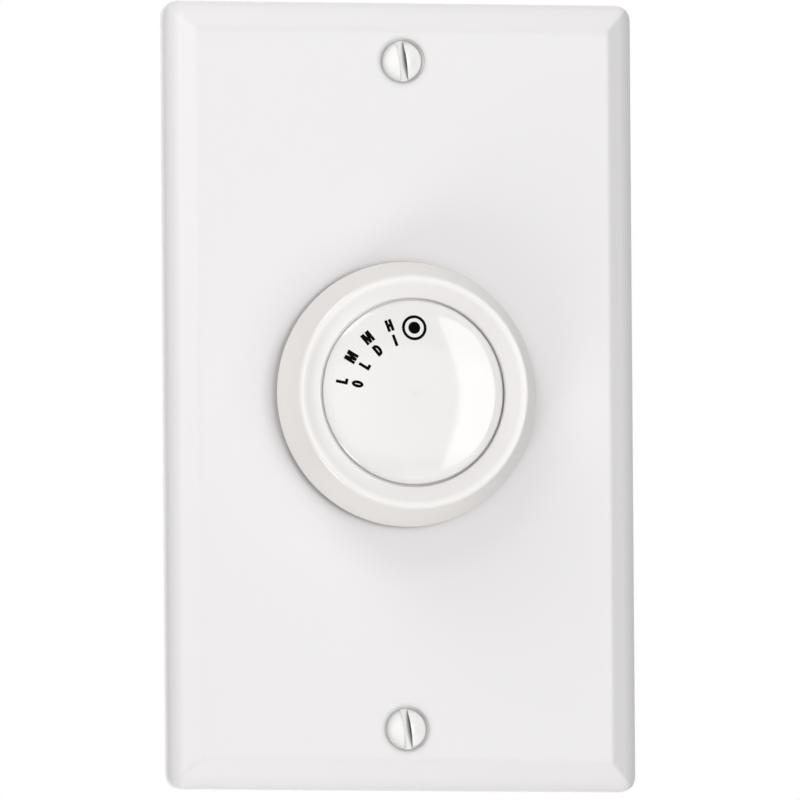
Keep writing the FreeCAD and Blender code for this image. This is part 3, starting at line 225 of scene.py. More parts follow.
def surface_material(name, effect, values, relief, wear=None, metallic=0.0, specular=0.5):
    """A material that takes colour, roughness and relief from an effect group.

    relief is the depth of the grain in metres; wear is (edge colour, amount) for the worn edges.
    """
    material = bpy.data.materials.new(name)
    material.use_nodes = True
    tree = material.node_tree
    shader = tree.nodes["Principled BSDF"].inputs
    shader["Metallic"].default_value = metallic
    shader["Specular IOR Level"].default_value = specular
    skin = wired(tree, "ShaderNodeGroup", values, node_tree=effect)
    tint = skin.outputs["Colour"]
    if wear:
        edge_colour, amount = wear
        tint = wired(tree, "ShaderNodeGroup",
                     {"Colour": tint, "Edge Colour": edge_colour, "Wear": amount},
                     node_tree=worn).outputs["Colour"]
    bump = wired(tree, "ShaderNodeBump", {"Height": skin.outputs["Relief"], "Distance": relief})
    tree.links.new(tint, shader["Base Color"])
    tree.links.new(skin.outputs["Roughness"], shader["Roughness"])
    tree.links.new(bump.outputs["Normal"], shader["Normal"])
    return material


def moulding(name, tint, drift, drift_size, grain_size, roughness, roughness_drift, relief, **finish):
    """A moulded material: how far and how coarsely its tone drifts, its grain and its gloss."""
    return surface_material(
        name, moulded,
        {"Colour": tint, "Drift": drift, "Drift Size": drift_size, "Grain Size": grain_size,
         "Roughness": roughness, "Roughness Drift": roughness_drift}, relief, **finish)


def dress(material, *names):
    """Gives a material to CAD nodes."""
    for name in names:
        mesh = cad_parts[name].data
        mesh.materials.clear()
        mesh.materials.append(material)


black_moulding = moulding(
    "black_moulding", (0.021, 0.021, 0.023, 1), drift=0.25, drift_size=12 * mm, grain_size=0.22 * mm,
    roughness=0.47, roughness_drift=0.12, relief=0.018 * mm,
    wear=((0.075, 0.074, 0.072, 1), 0.5), specular=0.45)
dress(black_moulding, "rear_housing")

# Worked metal: streaks along the way it was rolled, drawn or turned, and faint stains.
streak_detail = 3.0
cloud_scale, cloud_detail = 160.0, 4.0
stain_starts, stain_full = 0.45, 0.75
metal_gloss_drift = 0.1
metal_relief = 0.004 * mm
worked, given, made = shader_group(
    "worked_metal",
    {"Colour": colour, "Stain Colour": colour, "Stain": number, "Streaks": direction,
     "Roughness": number, "Roughness Drift": number},
    {"Colour": colour, "Roughness": number, "Relief": number})
place = wired(worked, "ShaderNodeTexCoord").outputs["Object"]
stretched = wired(worked, "ShaderNodeVectorMath", {0: place, 1: given["Streaks"]},
                  operation="MULTIPLY").outputs[0]
streaks = noise(worked, stretched, 1.0, streak_detail)
clouds = noise(worked, place, cloud_scale, cloud_detail)
spots = between(worked, clouds, stain_starts, stain_full)
stain = worked_out(worked, "MULTIPLY", spots, given["Stain"])
centred = worked_out(worked, "MULTIPLY_ADD", streaks, 2.0, -1.0)
gloss = worked_out(worked, "MULTIPLY_ADD", centred, given["Roughness Drift"], given["Roughness"])
worked.links.new(shaded(worked, given["Colour"], given["Stain Colour"], stain), made["Colour"])
worked.links.new(gloss, made["Roughness"])
worked.links.new(streaks, made["Relief"])


def metal(name, tint, stain_tint, stain, streaks, roughness, wear=None, metallic=1.0):
    """A metal with streaks; streaks gives how many there are per metre along each axis."""
    return surface_material(
        name, worked,
        {"Colour": tint, "Stain Colour": stain_tint, "Stain": stain, "Streaks": streaks,
         "Roughness": roughness, "Roughness Drift": metal_gloss_drift},
        metal_relief, wear=wear, metallic=metallic)


zinc = metal("zinc_plate", (0.60, 0.61, 0.62, 1), (0.48, 0.50, 0.54, 1), stain=0.6,
             streaks=(4000, 4000, 260), roughness=0.30, wear=((0.78, 0.78, 0.78, 1), 0.6))
dress(zinc, "housing_rivets")


# The circuit board is tan paper laminate. It carries three yellow film capacitors in epoxy-filled
# boxes and two lacquered bleed resistors, all on wire leads soldered to it.
board_laminate = moulding(
    "board_laminate", (0.30, 0.185, 0.085, 1), drift=0.3, drift_size=1.5 * mm, grain_size=0.12 * mm,
    roughness=0.5, roughness_drift=0.1, relief=0.01 * mm)
dress(board_laminate, "circuit_board")
capacitor_epoxy = moulding(
    "capacitor_epoxy", (0.62, 0.40, 0.035, 1), drift=0.08, drift_size=5 * mm, grain_size=0.5 * mm,
    roughness=0.28, roughness_drift=0.08, relief=0.01 * mm, wear=((0.72, 0.52, 0.12, 1), 0.6))
dress(capacitor_epoxy, "capacitor_upper", "capacitor_middle", "capacitor_lower")

# The resistors' colour bands run round the body, so they follow X along it.
band_span = 4.5 * mm
tan, dark, black = (0.42, 0.27, 0.15, 1), (0.035, 0.02, 0.01, 1), (0.01, 0.01, 0.01, 1)
orange, gold = (0.55, 0.25, 0.0, 1), (0.45, 0.33, 0.08, 1)
band_colours = ((0.00, tan), (0.17, dark), (0.25, tan), (0.36, black), (0.44, tan),
                (0.55, orange), (0.63, tan), (0.78, gold), (0.86, tan))


def place_in(tree):
    """The X, Y and Z of the point that is shaded, on the piece itself."""
    place = wired(tree, "ShaderNodeTexCoord").outputs["Object"]
    return wired(tree, "ShaderNodeSeparateXYZ", {0: place}).outputs


def ramp(tree, along, stops, interpolation="LINEAR"):
    """Colours that follow a value; stops are (value from 0 to 1, colour)."""
    node = wired(tree, "ShaderNodeValToRGB", {"Fac": along})
    node.color_ramp.interpolation = interpolation
    for step, (at, tint) in enumerate(stops):
        stop = node.color_ramp.elements[step] if step < 2 else node.color_ramp.elements.new(at)
        stop.position, stop.color = at, tint
    return node.outputs["Color"]


def recolour(tree, tint):
    """Feeds a colour that changes over the surface to a material's effect group."""
    tree.links.new(tint, next(n for n in tree.nodes if n.type == "GROUP").inputs["Colour"])


resistor_lacquer = moulding(
    "resistor_lacquer", tan, drift=0.12, drift_size=3 * mm, grain_size=0.3 * mm,
    roughness=0.35, roughness_drift=0.08, relief=0.008 * mm)
tree = resistor_lacquer.node_tree
share = worked_out(tree, "MULTIPLY_ADD", place_in(tree)["X"], 0.5 / band_span, 0.5)
recolour(tree, ramp(tree, share, band_colours, "CONSTANT"))
dress(resistor_lacquer, "bleed_resistor_upper", "bleed_resistor_lower")


# The rotary switch. A brown phenolic cup holds silver-faced contacts, a moulded carrier turns a bridge
# over them, and a nylon star wheel and a leaf spring give the steps. A plated cover closes the cup,
# and a brass bushing with its nut and toothed washer clamps it to the strap.
brown_moulding = moulding(
    "brown_moulding", (0.075, 0.036, 0.018, 1), drift=0.35, drift_size=0.8 * mm, grain_size=0.15 * mm,
    roughness=0.40, roughness_drift=0.12, relief=0.012 * mm, wear=((0.16, 0.09, 0.05, 1), 0.7))
dress(brown_moulding, "switch_base", "rotor")
light_moulding = moulding(
    "light_moulding", (0.63, 0.57, 0.44, 1), drift=0.06, drift_size=6 * mm, grain_size=0.3 * mm,
    roughness=0.36, roughness_drift=0.08, relief=0.008 * mm)
dress(light_moulding, "detent_wheel")
contact_silver = metal("contact_silver", (0.66, 0.58, 0.45, 1), (0.30, 0.24, 0.18, 1), stain=0.5,
                       streaks=(2500, 2500, 2500), roughness=0.26)
dress(contact_silver, "common_contact", "contact_high", "contact_medium", "contact_medium_low",
      "contact_low", "rotor_contact")
spring_steel = metal("spring_steel", (0.42, 0.43, 0.45, 1), (0.30, 0.27, 0.24, 1), stain=0.5,
                     streaks=(500, 3000, 500), roughness=0.24)
dress(spring_steel, "detent_spring", "contact_spring", "shaft_clip", "lock_washer", "knob_clip")
dress(zinc, "switch_cover")
drawn_steel = metal("drawn_steel", (0.58, 0.58, 0.59, 1), (0.42, 0.41, 0.40, 1), stain=0.5,
                    streaks=(4500, 150, 4500), roughness=0.22)
dress(drawn_steel, "switch_shaft")
brass = metal("brass", (0.68, 0.46, 0.17, 1), (0.40, 0.24, 0.09, 1), stain=0.6,
              streaks=(900, 3500, 900), roughness=0.27, wear=((0.80, 0.60, 0.30, 1), 0.6))
dress(brass, "shaft_bushing", "bushing_nut")


# Solder holds every pin where it comes through the board: a small bright fillet, wide at the board
# and drawn up the wire. One tree grows the fillet at every pin.
board_front, board_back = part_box("circuit_board")[0].y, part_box("circuit_board")[1].y
pin_proud = 0.1 * mm
pin_pair_gap = 4 * mm
fillet_radius = 1.05 * mm
fillet_height = 0.6 * mm
fillet_top_share = 0.42
fillet_hollow = 0.9
fillet_sides, fillet_rings = 20, 6
grown_crease = math.radians(38)


def growing_tree(name, inputs):
    """An empty Geometry Nodes tree with named inputs: the tree, what it is given, what it makes."""
    tree = bpy.data.node_groups.new(name, "GeometryNodeTree")
    for label, kind in inputs.items():
        tree.interface.new_socket(label, in_out="INPUT", socket_type=kind)
    tree.interface.new_socket("Geometry", in_out="OUTPUT", socket_type="NodeSocketGeometry")
    return tree, tree.nodes.new("NodeGroupInput").outputs, tree.nodes.new("NodeGroupOutput").inputs


def finish_tree(tree, geometry, material, made):
    """Ends a tree: its copies become real meshes and take their material."""
    real = wired(tree, "GeometryNodeRealizeInstances", {"Geometry": geometry}).outputs["Geometry"]
    coated = wired(tree, "GeometryNodeSetMaterial", {"Geometry": real, "Material": material})
    tree.links.new(coated.outputs["Geometry"], made["Geometry"])


def grown(tree, seeds, values):
    """The mesh that a tree makes from seed points and named values."""
    mesh = bpy.data.meshes.new("seeds")
    mesh.from_pydata(seeds, [], [])
    carrier = bpy.data.objects.new("carrier", mesh)
    scene.collection.objects.link(carrier)
    growth = carrier.modifiers.new(tree.name, "NODES")
    growth.node_group = tree
    for item in tree.interface.items_tree:
        if item.in_out == "INPUT" and item.name in values:
            growth[item.identifier] = values[item.name]
    evaluated = carrier.evaluated_get(bpy.context.evaluated_depsgraph_get())
    result = bpy.data.meshes.new_from_object(evaluated)
    carrier.modifiers.remove(growth)
    bpy.data.objects.remove(carrier)
    result.shade_smooth()
    result.set_sharp_from_angle(angle=grown_crease)
    return result


def added(name, mesh, body, material):
    """A finished piece that rides on a body."""
    mesh.materials.clear()
    mesh.materials.append(material)
    piece = bpy.data.objects.new(name, mesh)
    scene.collection.objects.link(piece)
    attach(piece, body)
    return piece


def midway(values):
    """The middle of the range of some numbers."""
    values = list(values)
    return (min(values) + max(values)) / 2


# The fillet is a cone, widest at the board, whose side is drawn in between its two ends.
fillets, given, made = growing_tree("solder_fillets", {
    "Geometry": "NodeSocketGeometry", "Radius": number, "Height": number, "Top Share": number,
    "Hollow": number, "Outward": number, "Material": "NodeSocketMaterial"})
cone = wired(fillets, "GeometryNodeMeshCone", {
    "Vertices": fillet_sides, "Side Segments": fillet_rings, "Radius Bottom": given["Radius"],
    "Radius Top": worked_out(fillets, "MULTIPLY", given["Radius"], given["Top Share"]),
    "Depth": given["Height"]})
on_cone = wired(fillets, "GeometryNodeInputPosition").outputs[0]
at = wired(fillets, "ShaderNodeSeparateXYZ", {0: on_cone}).outputs
rise = worked_out(fillets, "DIVIDE", at["Z"], given["Height"])
sag = worked_out(fillets, "MULTIPLY", rise, worked_out(fillets, "SUBTRACT", 1.0, rise))
narrow = worked_out(fillets, "SUBTRACT", 1.0, worked_out(fillets, "MULTIPLY", sag, given["Hollow"]))
drawn_in = wired(fillets, "ShaderNodeCombineXYZ", {
    "X": worked_out(fillets, "MULTIPLY", at["X"], narrow),
    "Y": worked_out(fillets, "MULTIPLY", at["Z"], given["Outward"]),
    "Z": worked_out(fillets, "MULTIPLY", at["Y"], narrow)})
fillet = wired(fillets, "GeometryNodeSetPosition",
               {"Geometry": cone.outputs["Mesh"], "Position": drawn_in.outputs[0]})
spread = wired(fillets, "GeometryNodeInstanceOnPoints",
               {"Points": given["Geometry"], "Instance": fillet.outputs["Geometry"]})
finish_tree(fillets, spread.outputs["Instances"], given["Material"], made)


def pins_of(nodes, surface, outward):
    """Where the pins and leads of CAD nodes stand out of the board's face, one point for each."""
    found = []
    for node in nodes:
        corners = [v.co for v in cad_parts[node].data.vertices]
        tips = [c for c in corners if (c.y - surface) * outward > pin_proud]
        middle = sum(t.x for t in tips) / len(tips)
        is_pair = max(t.x for t in tips) - min(t.x for t in tips) > pin_pair_gap
        for hand in (-1, 1) if is_pair else (0,):
            near = [t for t in tips if (t.x - middle) * hand >= 0]
            found.append((midway(t.x for t in near), surface, midway(t.z for t in near)))
    return found


solder = metal("solder", (0.62, 0.62, 0.63, 1), (0.45, 0.45, 0.46, 1), stain=0.4,
               streaks=(900, 900, 900), roughness=0.2)
for face, surface, outward, nodes in (
        ("back", board_back, 1, ("contact_high", "contact_medium", "contact_medium_low", "contact_low",
                                 "common_contact", "terminal_left", "terminal_right")),
        ("front", board_front, -1, ("capacitor_upper", "capacitor_middle", "capacitor_lower",
                                    "bleed_resistor_upper", "bleed_resistor_lower"))):
    joints = grown(fillets, pins_of(nodes, surface, outward),
                   {"Radius": fillet_radius, "Height": fillet_height, "Top Share": fillet_top_share,
                    "Hollow": fillet_hollow, "Outward": float(outward), "Material": solder})
    if outward > 0:
        joints.flip_normals()
    added("solder_" + face, joints, "control", solder)


# The strap is punched from zinc-plated steel, with a tab bent back for the green ground screw. Red
# fibre washers keep the box screws on it, and brass terminal plates stand at the housing's sides.
dress(zinc, "mounting_strap")
fibre = moulding(
    "red_fibre", (0.22, 0.075, 0.045, 1), drift=0.3, drift_size=1.2 * mm, grain_size=0.1 * mm,
    roughness=0.7, roughness_drift=0.1, relief=0.02 * mm)
dress(fibre, "screw_retainers")
dress(brass, "terminal_left", "terminal_right")


# The two zinc-plated box screws hold the strap to the wall box. Every screw has a rolled thread: a V
# ridge wound round a core, fading out at its ends. The tree winds it along +Z; the heads, with their
# slots, are cut from the CAD screws, and the thread takes the shank's place.
fine_pitch = 25.4 / 32 * mm
fine_core, fine_ridge = 1.40 * mm, 0.34 * mm
tip_length = 0.55 * mm
tip_taper = 0.3
least_ridge = 0.05
turn_steps, core_sides, ridge_sides = 22, 30, 4
station_match = 0.1
head_reach = 5 * mm
head_crease = math.radians(10)
weld_distance = 0.0005 * mm

threads, given, made = growing_tree("rolled_thread", {
    "Core Radius": number, "Ridge": number, "Pitch": number, "Length": number,
    "Tip Length": number, "Material": "NodeSocketMaterial"})
climb = worked_out(threads, "SUBTRACT", given["Length"], given["Tip Length"])
turns = worked_out(threads, "DIVIDE", climb, given["Pitch"])
helix = wired(threads, "GeometryNodeCurveSpiral", {
    "Resolution": turn_steps, "Rotations": turns, "Start Radius": given["Core Radius"],
    "End Radius": given["Core Radius"], "Height": climb, "Reverse": False})
upright = wired(threads, "GeometryNodeSetCurveNormal", {"Curve": helix.outputs[0]}, mode="Z_UP")
share = wired(threads, "GeometryNodeSplineParameter").outputs["Factor"]
passed = worked_out(threads, "MULTIPLY", share, turns)
left = worked_out(threads, "SUBTRACT", turns, passed)
from_end = worked_out(threads, "MINIMUM", passed, left)
fade = worked_out(threads, "MAXIMUM", worked_out(threads, "MINIMUM", from_end, 1.0), least_ridge)
faded = wired(threads, "GeometryNodeSetCurveRadius", {"Curve": upright.outputs[0], "Radius": fade})
vee = wired(threads, "GeometryNodeCurvePrimitiveCircle",
            {"Resolution": ridge_sides, "Radius": given["Ridge"]})
ridge = wired(threads, "GeometryNodeCurveToMesh",
              {"Curve": faded.outputs[0], "Profile Curve": vee.outputs[0], "Fill Caps": True})

# The core is a rod of three stations: the head's end, the shoulder where the tip begins, the tip.
end = wired(threads, "ShaderNodeCombineXYZ", {"Z": given["Length"]})
axis = wired(threads, "GeometryNodeCurvePrimitiveLine", {"End": end.outputs[0]})
stations = wired(threads, "GeometryNodeResampleCurve", {"Curve": axis.outputs[0], "Count": 3})
station = wired(threads, "GeometryNodeInputIndex").outputs[0]
shoulder = wired(threads, "ShaderNodeCombineXYZ", {"Z": climb})
at_shoulder = worked_out(threads, "COMPARE", station, 1.0, station_match)
bent = wired(threads, "GeometryNodeSetPosition", {
    "Geometry": stations.outputs[0], "Selection": at_shoulder, "Position": shoulder.outputs[0]})
at_tip = worked_out(threads, "COMPARE", station, 2.0, station_match)
taper = worked_out(threads, "MULTIPLY", at_tip, tip_taper)
pointed = wired(threads, "GeometryNodeSetCurveRadius", {
    "Curve": bent.outputs[0], "Radius": worked_out(threads, "SUBTRACT", 1.0, taper)})
section = wired(threads, "GeometryNodeCurvePrimitiveCircle",
                {"Resolution": core_sides, "Radius": given["Core Radius"]})
core = wired(threads, "GeometryNodeCurveToMesh",
             {"Curve": pointed.outputs[0], "Profile Curve": section.outputs[0], "Fill Caps": True})
both = wired(threads, "GeometryNodeJoinGeometry", {0: core.outputs[0]})
threads.links.new(ridge.outputs[0], both.inputs[0])
finish_tree(threads, both.outputs[0], given["Material"], made)


def head_of(node, start, along):
    """The head of a CAD screw, cut off square where its thread starts, as a mesh."""
    head = bmesh.new()
    head.from_mesh(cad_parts[node].data)
    bmesh.ops.remove_doubles(head, verts=head.verts, dist=weld_distance)
    other_screw = [v for v in head.verts
                   if ((v.co - start) - (v.co - start).dot(along) * along).length > head_reach]
    bmesh.ops.delete(head, geom=other_screw, context="VERTS")
    cut = bmesh.ops.bisect_plane(head, geom=head.verts[:] + head.edges[:] + head.faces[:],
                                 plane_co=start, plane_no=along, clear_outer=True)
    rim = [e for e in cut["geom_cut"] if isinstance(e, bmesh.types.BMEdge)]
    bmesh.ops.edgenet_fill(head, edges=rim)
    bmesh.ops.recalc_face_normals(head, faces=head.faces)
    mesh = bpy.data.meshes.new("head")
    head.to_mesh(mesh)
    head.free()
    mesh.shade_smooth()
    mesh.set_sharp_from_angle(angle=head_crease)
    return mesh


def screws(node, heads, core, ridge, material):
    """Threaded screws in place of a CAD node.

    Each head is (point where the thread starts, direction of the shank, length of the thread).
    """
    whole = bmesh.new()
    for start, along, length in heads:
        start, along = Vector(start), Vector(along)
        whole.from_mesh(head_of(node, start, along))
        shank = grown(threads, [], {"Core Radius": core, "Ridge": ridge, "Pitch": fine_pitch,
                                    "Length": length, "Tip Length": tip_length, "Material": material})
        shank.transform(Matrix.Translation(start) @ along.to_track_quat("Z", "X").to_matrix().to_4x4())
        whole.from_mesh(shank)
    mesh = bpy.data.meshes.new(node)
    whole.to_mesh(mesh)
    whole.free()
    piece = added("threaded_" + node, mesh, "control", material)
    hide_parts(node)


box_screw_z = 41.67 * mm
box_thread_start = 0.44 * mm
box_thread_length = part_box("box_screws")[1].y - box_thread_start
screws("box_screws",
       [((0, box_thread_start, side * box_screw_z), (0, 1, 0), box_thread_length) for side in (-1, 1)],
       fine_core, fine_ridge, zinc)


# The ground screw is the same size with a washer-faced hexagon head. It is steel, plated and dyed
# green, and screwed from the side into the strap's bent tab.
green_dye = metal("green_dye", (0.035, 0.21, 0.075, 1), (0.02, 0.12, 0.05, 1), stain=0.5,
                  streaks=(1500, 1500, 1500), roughness=0.30, wear=((0.45, 0.52, 0.44, 1), 0.8),
                  metallic=0.75)
ground_low, ground_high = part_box("ground_screw")
ground_head = 2.4 * mm
ground_start = (ground_low.x + ground_head, midway((ground_low.y, ground_high.y)),
                midway((ground_low.z, ground_high.z)))
screws("ground_screw", [(ground_start, (1, 0, 0), ground_high.x - ground_start[0])],
       fine_core, fine_ridge, green_dye)


# The terminal screws are brass, one on each side between the housing's barriers. They are a size
# larger than the others and clamp the wires on the terminal plates.
terminal_core, terminal_ridge = 1.54 * mm, 0.35 * mm
terminal_head = 2.2 * mm
terminal_reach = 5.0 * mm
terminal_low, terminal_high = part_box("terminal_screws")
terminal_x = terminal_high.x - terminal_head
terminal_y = midway((terminal_low.y, terminal_high.y))
terminal_z = midway((terminal_low.z, terminal_high.z))
screws("terminal_screws",
       [((side * terminal_x, terminal_y, terminal_z), (-side, 0, 0), terminal_reach)
        for side in (-1, 1)],
       terminal_core, terminal_ridge, brass)


# The wall plate is one white moulding, satin on its face. Its edges are softened, and painted shade
# makes its lip a little greyer towards the outside, more at the sides than at the ends. Painted shade
# darkens its crevices and the plate round the knob.
plate_white = (0.862, 0.846, 0.850, 1)
plate_edge_roll = 1.3 * mm
edge_roll_samples = 8
lip_shade_width = 2.1 * mm
# share of the lip's width from the outer edge: share of the plate's own tone kept under the painted
# shade
side_painted_shade = ((0.0, 0.725), (0.10, 0.75), (1.0, 1.0))
end_painted_shade = ((0.0, 0.915), (0.10, 0.915), (0.46, 0.97), (1.0, 1.0))
shelter_samples = 12


def lay_grain_on(tree, normal):
    """Lets a material's grain lie on another normal than the mesh's own."""
    tree.links.new(normal, next(n for n in tree.nodes if n.type == "BUMP").inputs["Normal"])


plate_plastic = moulding(
    "plate_plastic", plate_white, drift=0.008, drift_size=25 * mm, grain_size=0.35 * mm,
    roughness=0.40, roughness_drift=0.03, relief=0.0012 * mm)
tree = plate_plastic.node_tree
rolled = wired(tree, "ShaderNodeBevel", {"Radius": plate_edge_roll}, samples=edge_roll_samples)
lay_grain_on(tree, rolled.outputs["Normal"])
# Painted shade: the plate's colour darkens across the lip towards its outer edge, more at the sides
# than at the ends.
shaded_lip = plate_white
plate_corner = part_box("wall_plate")[1]
for axis, half_size, tones in (("X", plate_corner.x, side_painted_shade), ("Z", plate_corner.z, end_painted_shade)):
    outward = worked_out(tree, "ABSOLUTE", place_in(tree)[axis])
    inward = worked_out(tree, "SUBTRACT", half_size, outward)
    edge_shade = ramp(tree, worked_out(tree, "DIVIDE", inward, lip_shade_width),
                [(at, (tone, tone, tone, 1)) for at, tone in tones])
    shaded_lip = shaded(tree, shaded_lip, edge_shade, 1.0, "MULTIPLY")
recolour(tree, shaded_lip)
dress(plate_plastic, "wall_plate")

# Painted shade in crevices: the colour darkens where other walls shelter the surface, more on one side
# if it leans.
shade_in_crevices, given, made = shader_group(
    "painted_crevice_shade",
    {"Colour": colour, "Shade Colour": colour, "Reach": number, "Amount": number, "Gather": number,
     "Lean": direction},
    {"Colour": colour})
shelter = wired(shade_in_crevices, "ShaderNodeAmbientOcclusion", {"Distance": given["Reach"]},
                samples=shelter_samples)
hidden = worked_out(shade_in_crevices, "SUBTRACT", 1.0, shelter.outputs["AO"])
gathered = worked_out(shade_in_crevices, "POWER", hidden, given["Gather"])
place = wired(shade_in_crevices, "ShaderNodeTexCoord").outputs["Object"]
leaning = wired(shade_in_crevices, "ShaderNodeVectorMath", {0: place, 1: given["Lean"]},
                operation="DOT_PRODUCT").outputs["Value"]
sided = worked_out(shade_in_crevices, "MAXIMUM", worked_out(shade_in_crevices, "ADD", leaning, 1.0), 0.0)
shade_share = worked_out(shade_in_crevices, "MULTIPLY", gathered, given["Amount"])
shade_share = worked_out(shade_in_crevices, "MULTIPLY", shade_share, sided)
shade_in_crevices.links.new(shaded(shade_in_crevices, given["Colour"], given["Shade Colour"], shade_share), made["Colour"])


def paint_crevice_shade(material, shade_tint, reach, amount, gather, lean=(0, 0, 0)):
    """Paints shade into a material's colour in its crevices.

    reach is how far off a wall still shelters it, in metres; a higher gather keeps it to the corners,
    and lean is how much more of it lies to one side, as a share for each metre from the axis.
    """
    tree = material.node_tree
    target = tree.nodes["Principled BSDF"].inputs["Base Color"]
    crevice_shading = wired(tree, "ShaderNodeGroup", {
        "Colour": target.links[0].from_socket, "Shade Colour": shade_tint, "Reach": reach,
        "Amount": amount, "Gather": gather, "Lean": lean}, node_tree=shade_in_crevices)
    tree.links.new(crevice_shading.outputs["Colour"], target)


# Painted shadow: a wide layer darkens the plate round the knob, a narrow one darkens the rings round
# the screw heads and other crevices.
paint_crevice_shade(plate_plastic, (0.24, 0.23, 0.215, 1), reach=9 * mm, amount=0.40, gather=0.75)
paint_crevice_shade(plate_plastic, (0.10, 0.10, 0.095, 1), reach=0.7 * mm, amount=0.5, gather=1.0)


# Two oval-head steel screws hold the plate. Their heads are enamelled white, and the slots stop nearly
# upright. One wall of each slot is painted near black as painted shade, most in the middle.
plate_screw_z = 48.42 * mm
plate_screw_head = 2.5 * mm
plate_thread_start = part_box("plate_screws")[0].y + plate_screw_head
plate_thread_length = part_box("plate_screws")[1].y - plate_thread_start
slot_tilt = math.radians(8)
wall_facing = 0.85
slot_shade_reach = 2.6 * mm
slot_shade_colour = (0.012, 0.012, 0.012, 1)
screw_enamel = moulding(
    "screw_enamel", (0.960, 0.955, 0.945, 1), drift=0.02, drift_size=2 * mm, grain_size=0.25 * mm,
    roughness=0.22, roughness_drift=0.06, relief=0.002 * mm)
tree = screw_enamel.node_tree
place = place_in(tree)
# Painted shade: the slot wall on the head that faces left turns near black, most in the middle of the
# slot.
facing = wired(tree, "ShaderNodeVectorMath", {
    0: wired(tree, "ShaderNodeNewGeometry").outputs["Normal"],
    1: (-math.cos(slot_tilt), 0, -math.sin(slot_tilt))}, operation="DOT_PRODUCT")
on_wall = worked_out(tree, "GREATER_THAN", facing.outputs["Value"], wall_facing)
on_head = worked_out(tree, "LESS_THAN", place["Y"], plate_thread_start)
from_middle = worked_out(tree, "SUBTRACT", worked_out(tree, "ABSOLUTE", place["Z"]), plate_screw_z)
along_slot = worked_out(tree, "POWER", worked_out(tree, "DIVIDE", from_middle, slot_shade_reach), 2.0)
slot_shade = worked_out(tree, "MAXIMUM", worked_out(tree, "SUBTRACT", 1.0, along_slot), 0.0)
for limit in (on_wall, on_head):
    slot_shade = worked_out(tree, "MULTIPLY", slot_shade, limit)
base_colour = tree.nodes["Principled BSDF"].inputs["Base Color"]
tree.links.new(shaded(tree, base_colour.links[0].from_socket, slot_shade_colour, slot_shade), base_colour)
# Painted shade darkens the slots and the gaps round the heads.
paint_crevice_shade(screw_enamel, (0.04, 0.04, 0.04, 1), reach=0.55 * mm, amount=2.4, gather=1.8)
screws("plate_screws",
       [((0, plate_thread_start, side * plate_screw_z), (0, 1, 0), plate_thread_length)
        for side in (-1, 1)],
       fine_core, fine_ridge, screw_enamel)


# The knob is moulded in white plastic, a little warmer than the plate, and pushed on the shaft. Its
# rim carries a painted highlight, its skirt painted shade, and painted shade in its crevices lies more
# towards the lower right.
knob_radius = 19.2 * mm
ring_white = (0.870, 0.845, 0.832, 1)
rim_painted_highlight = (0.955, 0.935, 0.918, 1)
skirt_painted_shade = (0.750, 0.727, 0.709, 1)
# distance from the axis: tone
knob_tones_and_painted_light = ((15.7 * mm, ring_white), (16.2 * mm, rim_painted_highlight),
              (16.55 * mm, rim_painted_highlight), (17.15 * mm, skirt_painted_shade))
shaded_side = math.radians(120)
lower_right = Vector((math.sin(shaded_side), 0, math.cos(shaded_side)))
knob_lean = 0.9


def squared_radius(tree, place):
    """The square of the distance from the knob's axis."""
    across, up = (worked_out(tree, "POWER", place[axis], 2.0) for axis in ("X", "Z"))
    return worked_out(tree, "ADD", across, up)


knob_plastic = moulding(
    "knob_plastic", ring_white, drift=0.008, drift_size=18 * mm, grain_size=0.3 * mm,
    roughness=0.30, roughness_drift=0.03, relief=0.0012 * mm)
tree = knob_plastic.node_tree
# Painted highlight on the rim and painted shade on the skirt, set by the distance from the axis.
from_axis = worked_out(tree, "SQRT", squared_radius(tree, place_in(tree)))
recolour(tree, ramp(tree, worked_out(tree, "DIVIDE", from_axis, knob_radius),
                    [(at / knob_radius, tint) for at, tint in knob_tones_and_painted_light]))
# Painted shade at the skirt's foot and in the groove, darker towards the lower right.
paint_crevice_shade(knob_plastic, (0.22, 0.21, 0.19, 1), reach=3 * mm, amount=0.30, gather=1.0,
     lean=lower_right * knob_lean / knob_radius)
dress(knob_plastic, "knob_body")


# The cap is a polished disc of the same plastic, pressed into the knob. Its dome is flatter than a
# sphere in the middle and falls away faster near its edge. The difference stays under 0.1 mm, so it
# is given as the normal alone: the slope grows as a power of the distance from the axis.
dome_radius = 90.0 * mm
form_radius = 12.0 * mm
form_slope = 0.198
form_power = 1.8
dome_depth = 1 * mm
cap_lean = 0.95
cap_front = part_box("knob_cap")[0].y
cap_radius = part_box("knob_cap")[1].x
cap_plastic = moulding(
    "cap_plastic", (0.900, 0.889, 0.871, 1), drift=0.006, drift_size=14 * mm, grain_size=0.4 * mm,
    roughness=0.09, roughness_drift=0.01, relief=0.0004 * mm, specular=0.37)
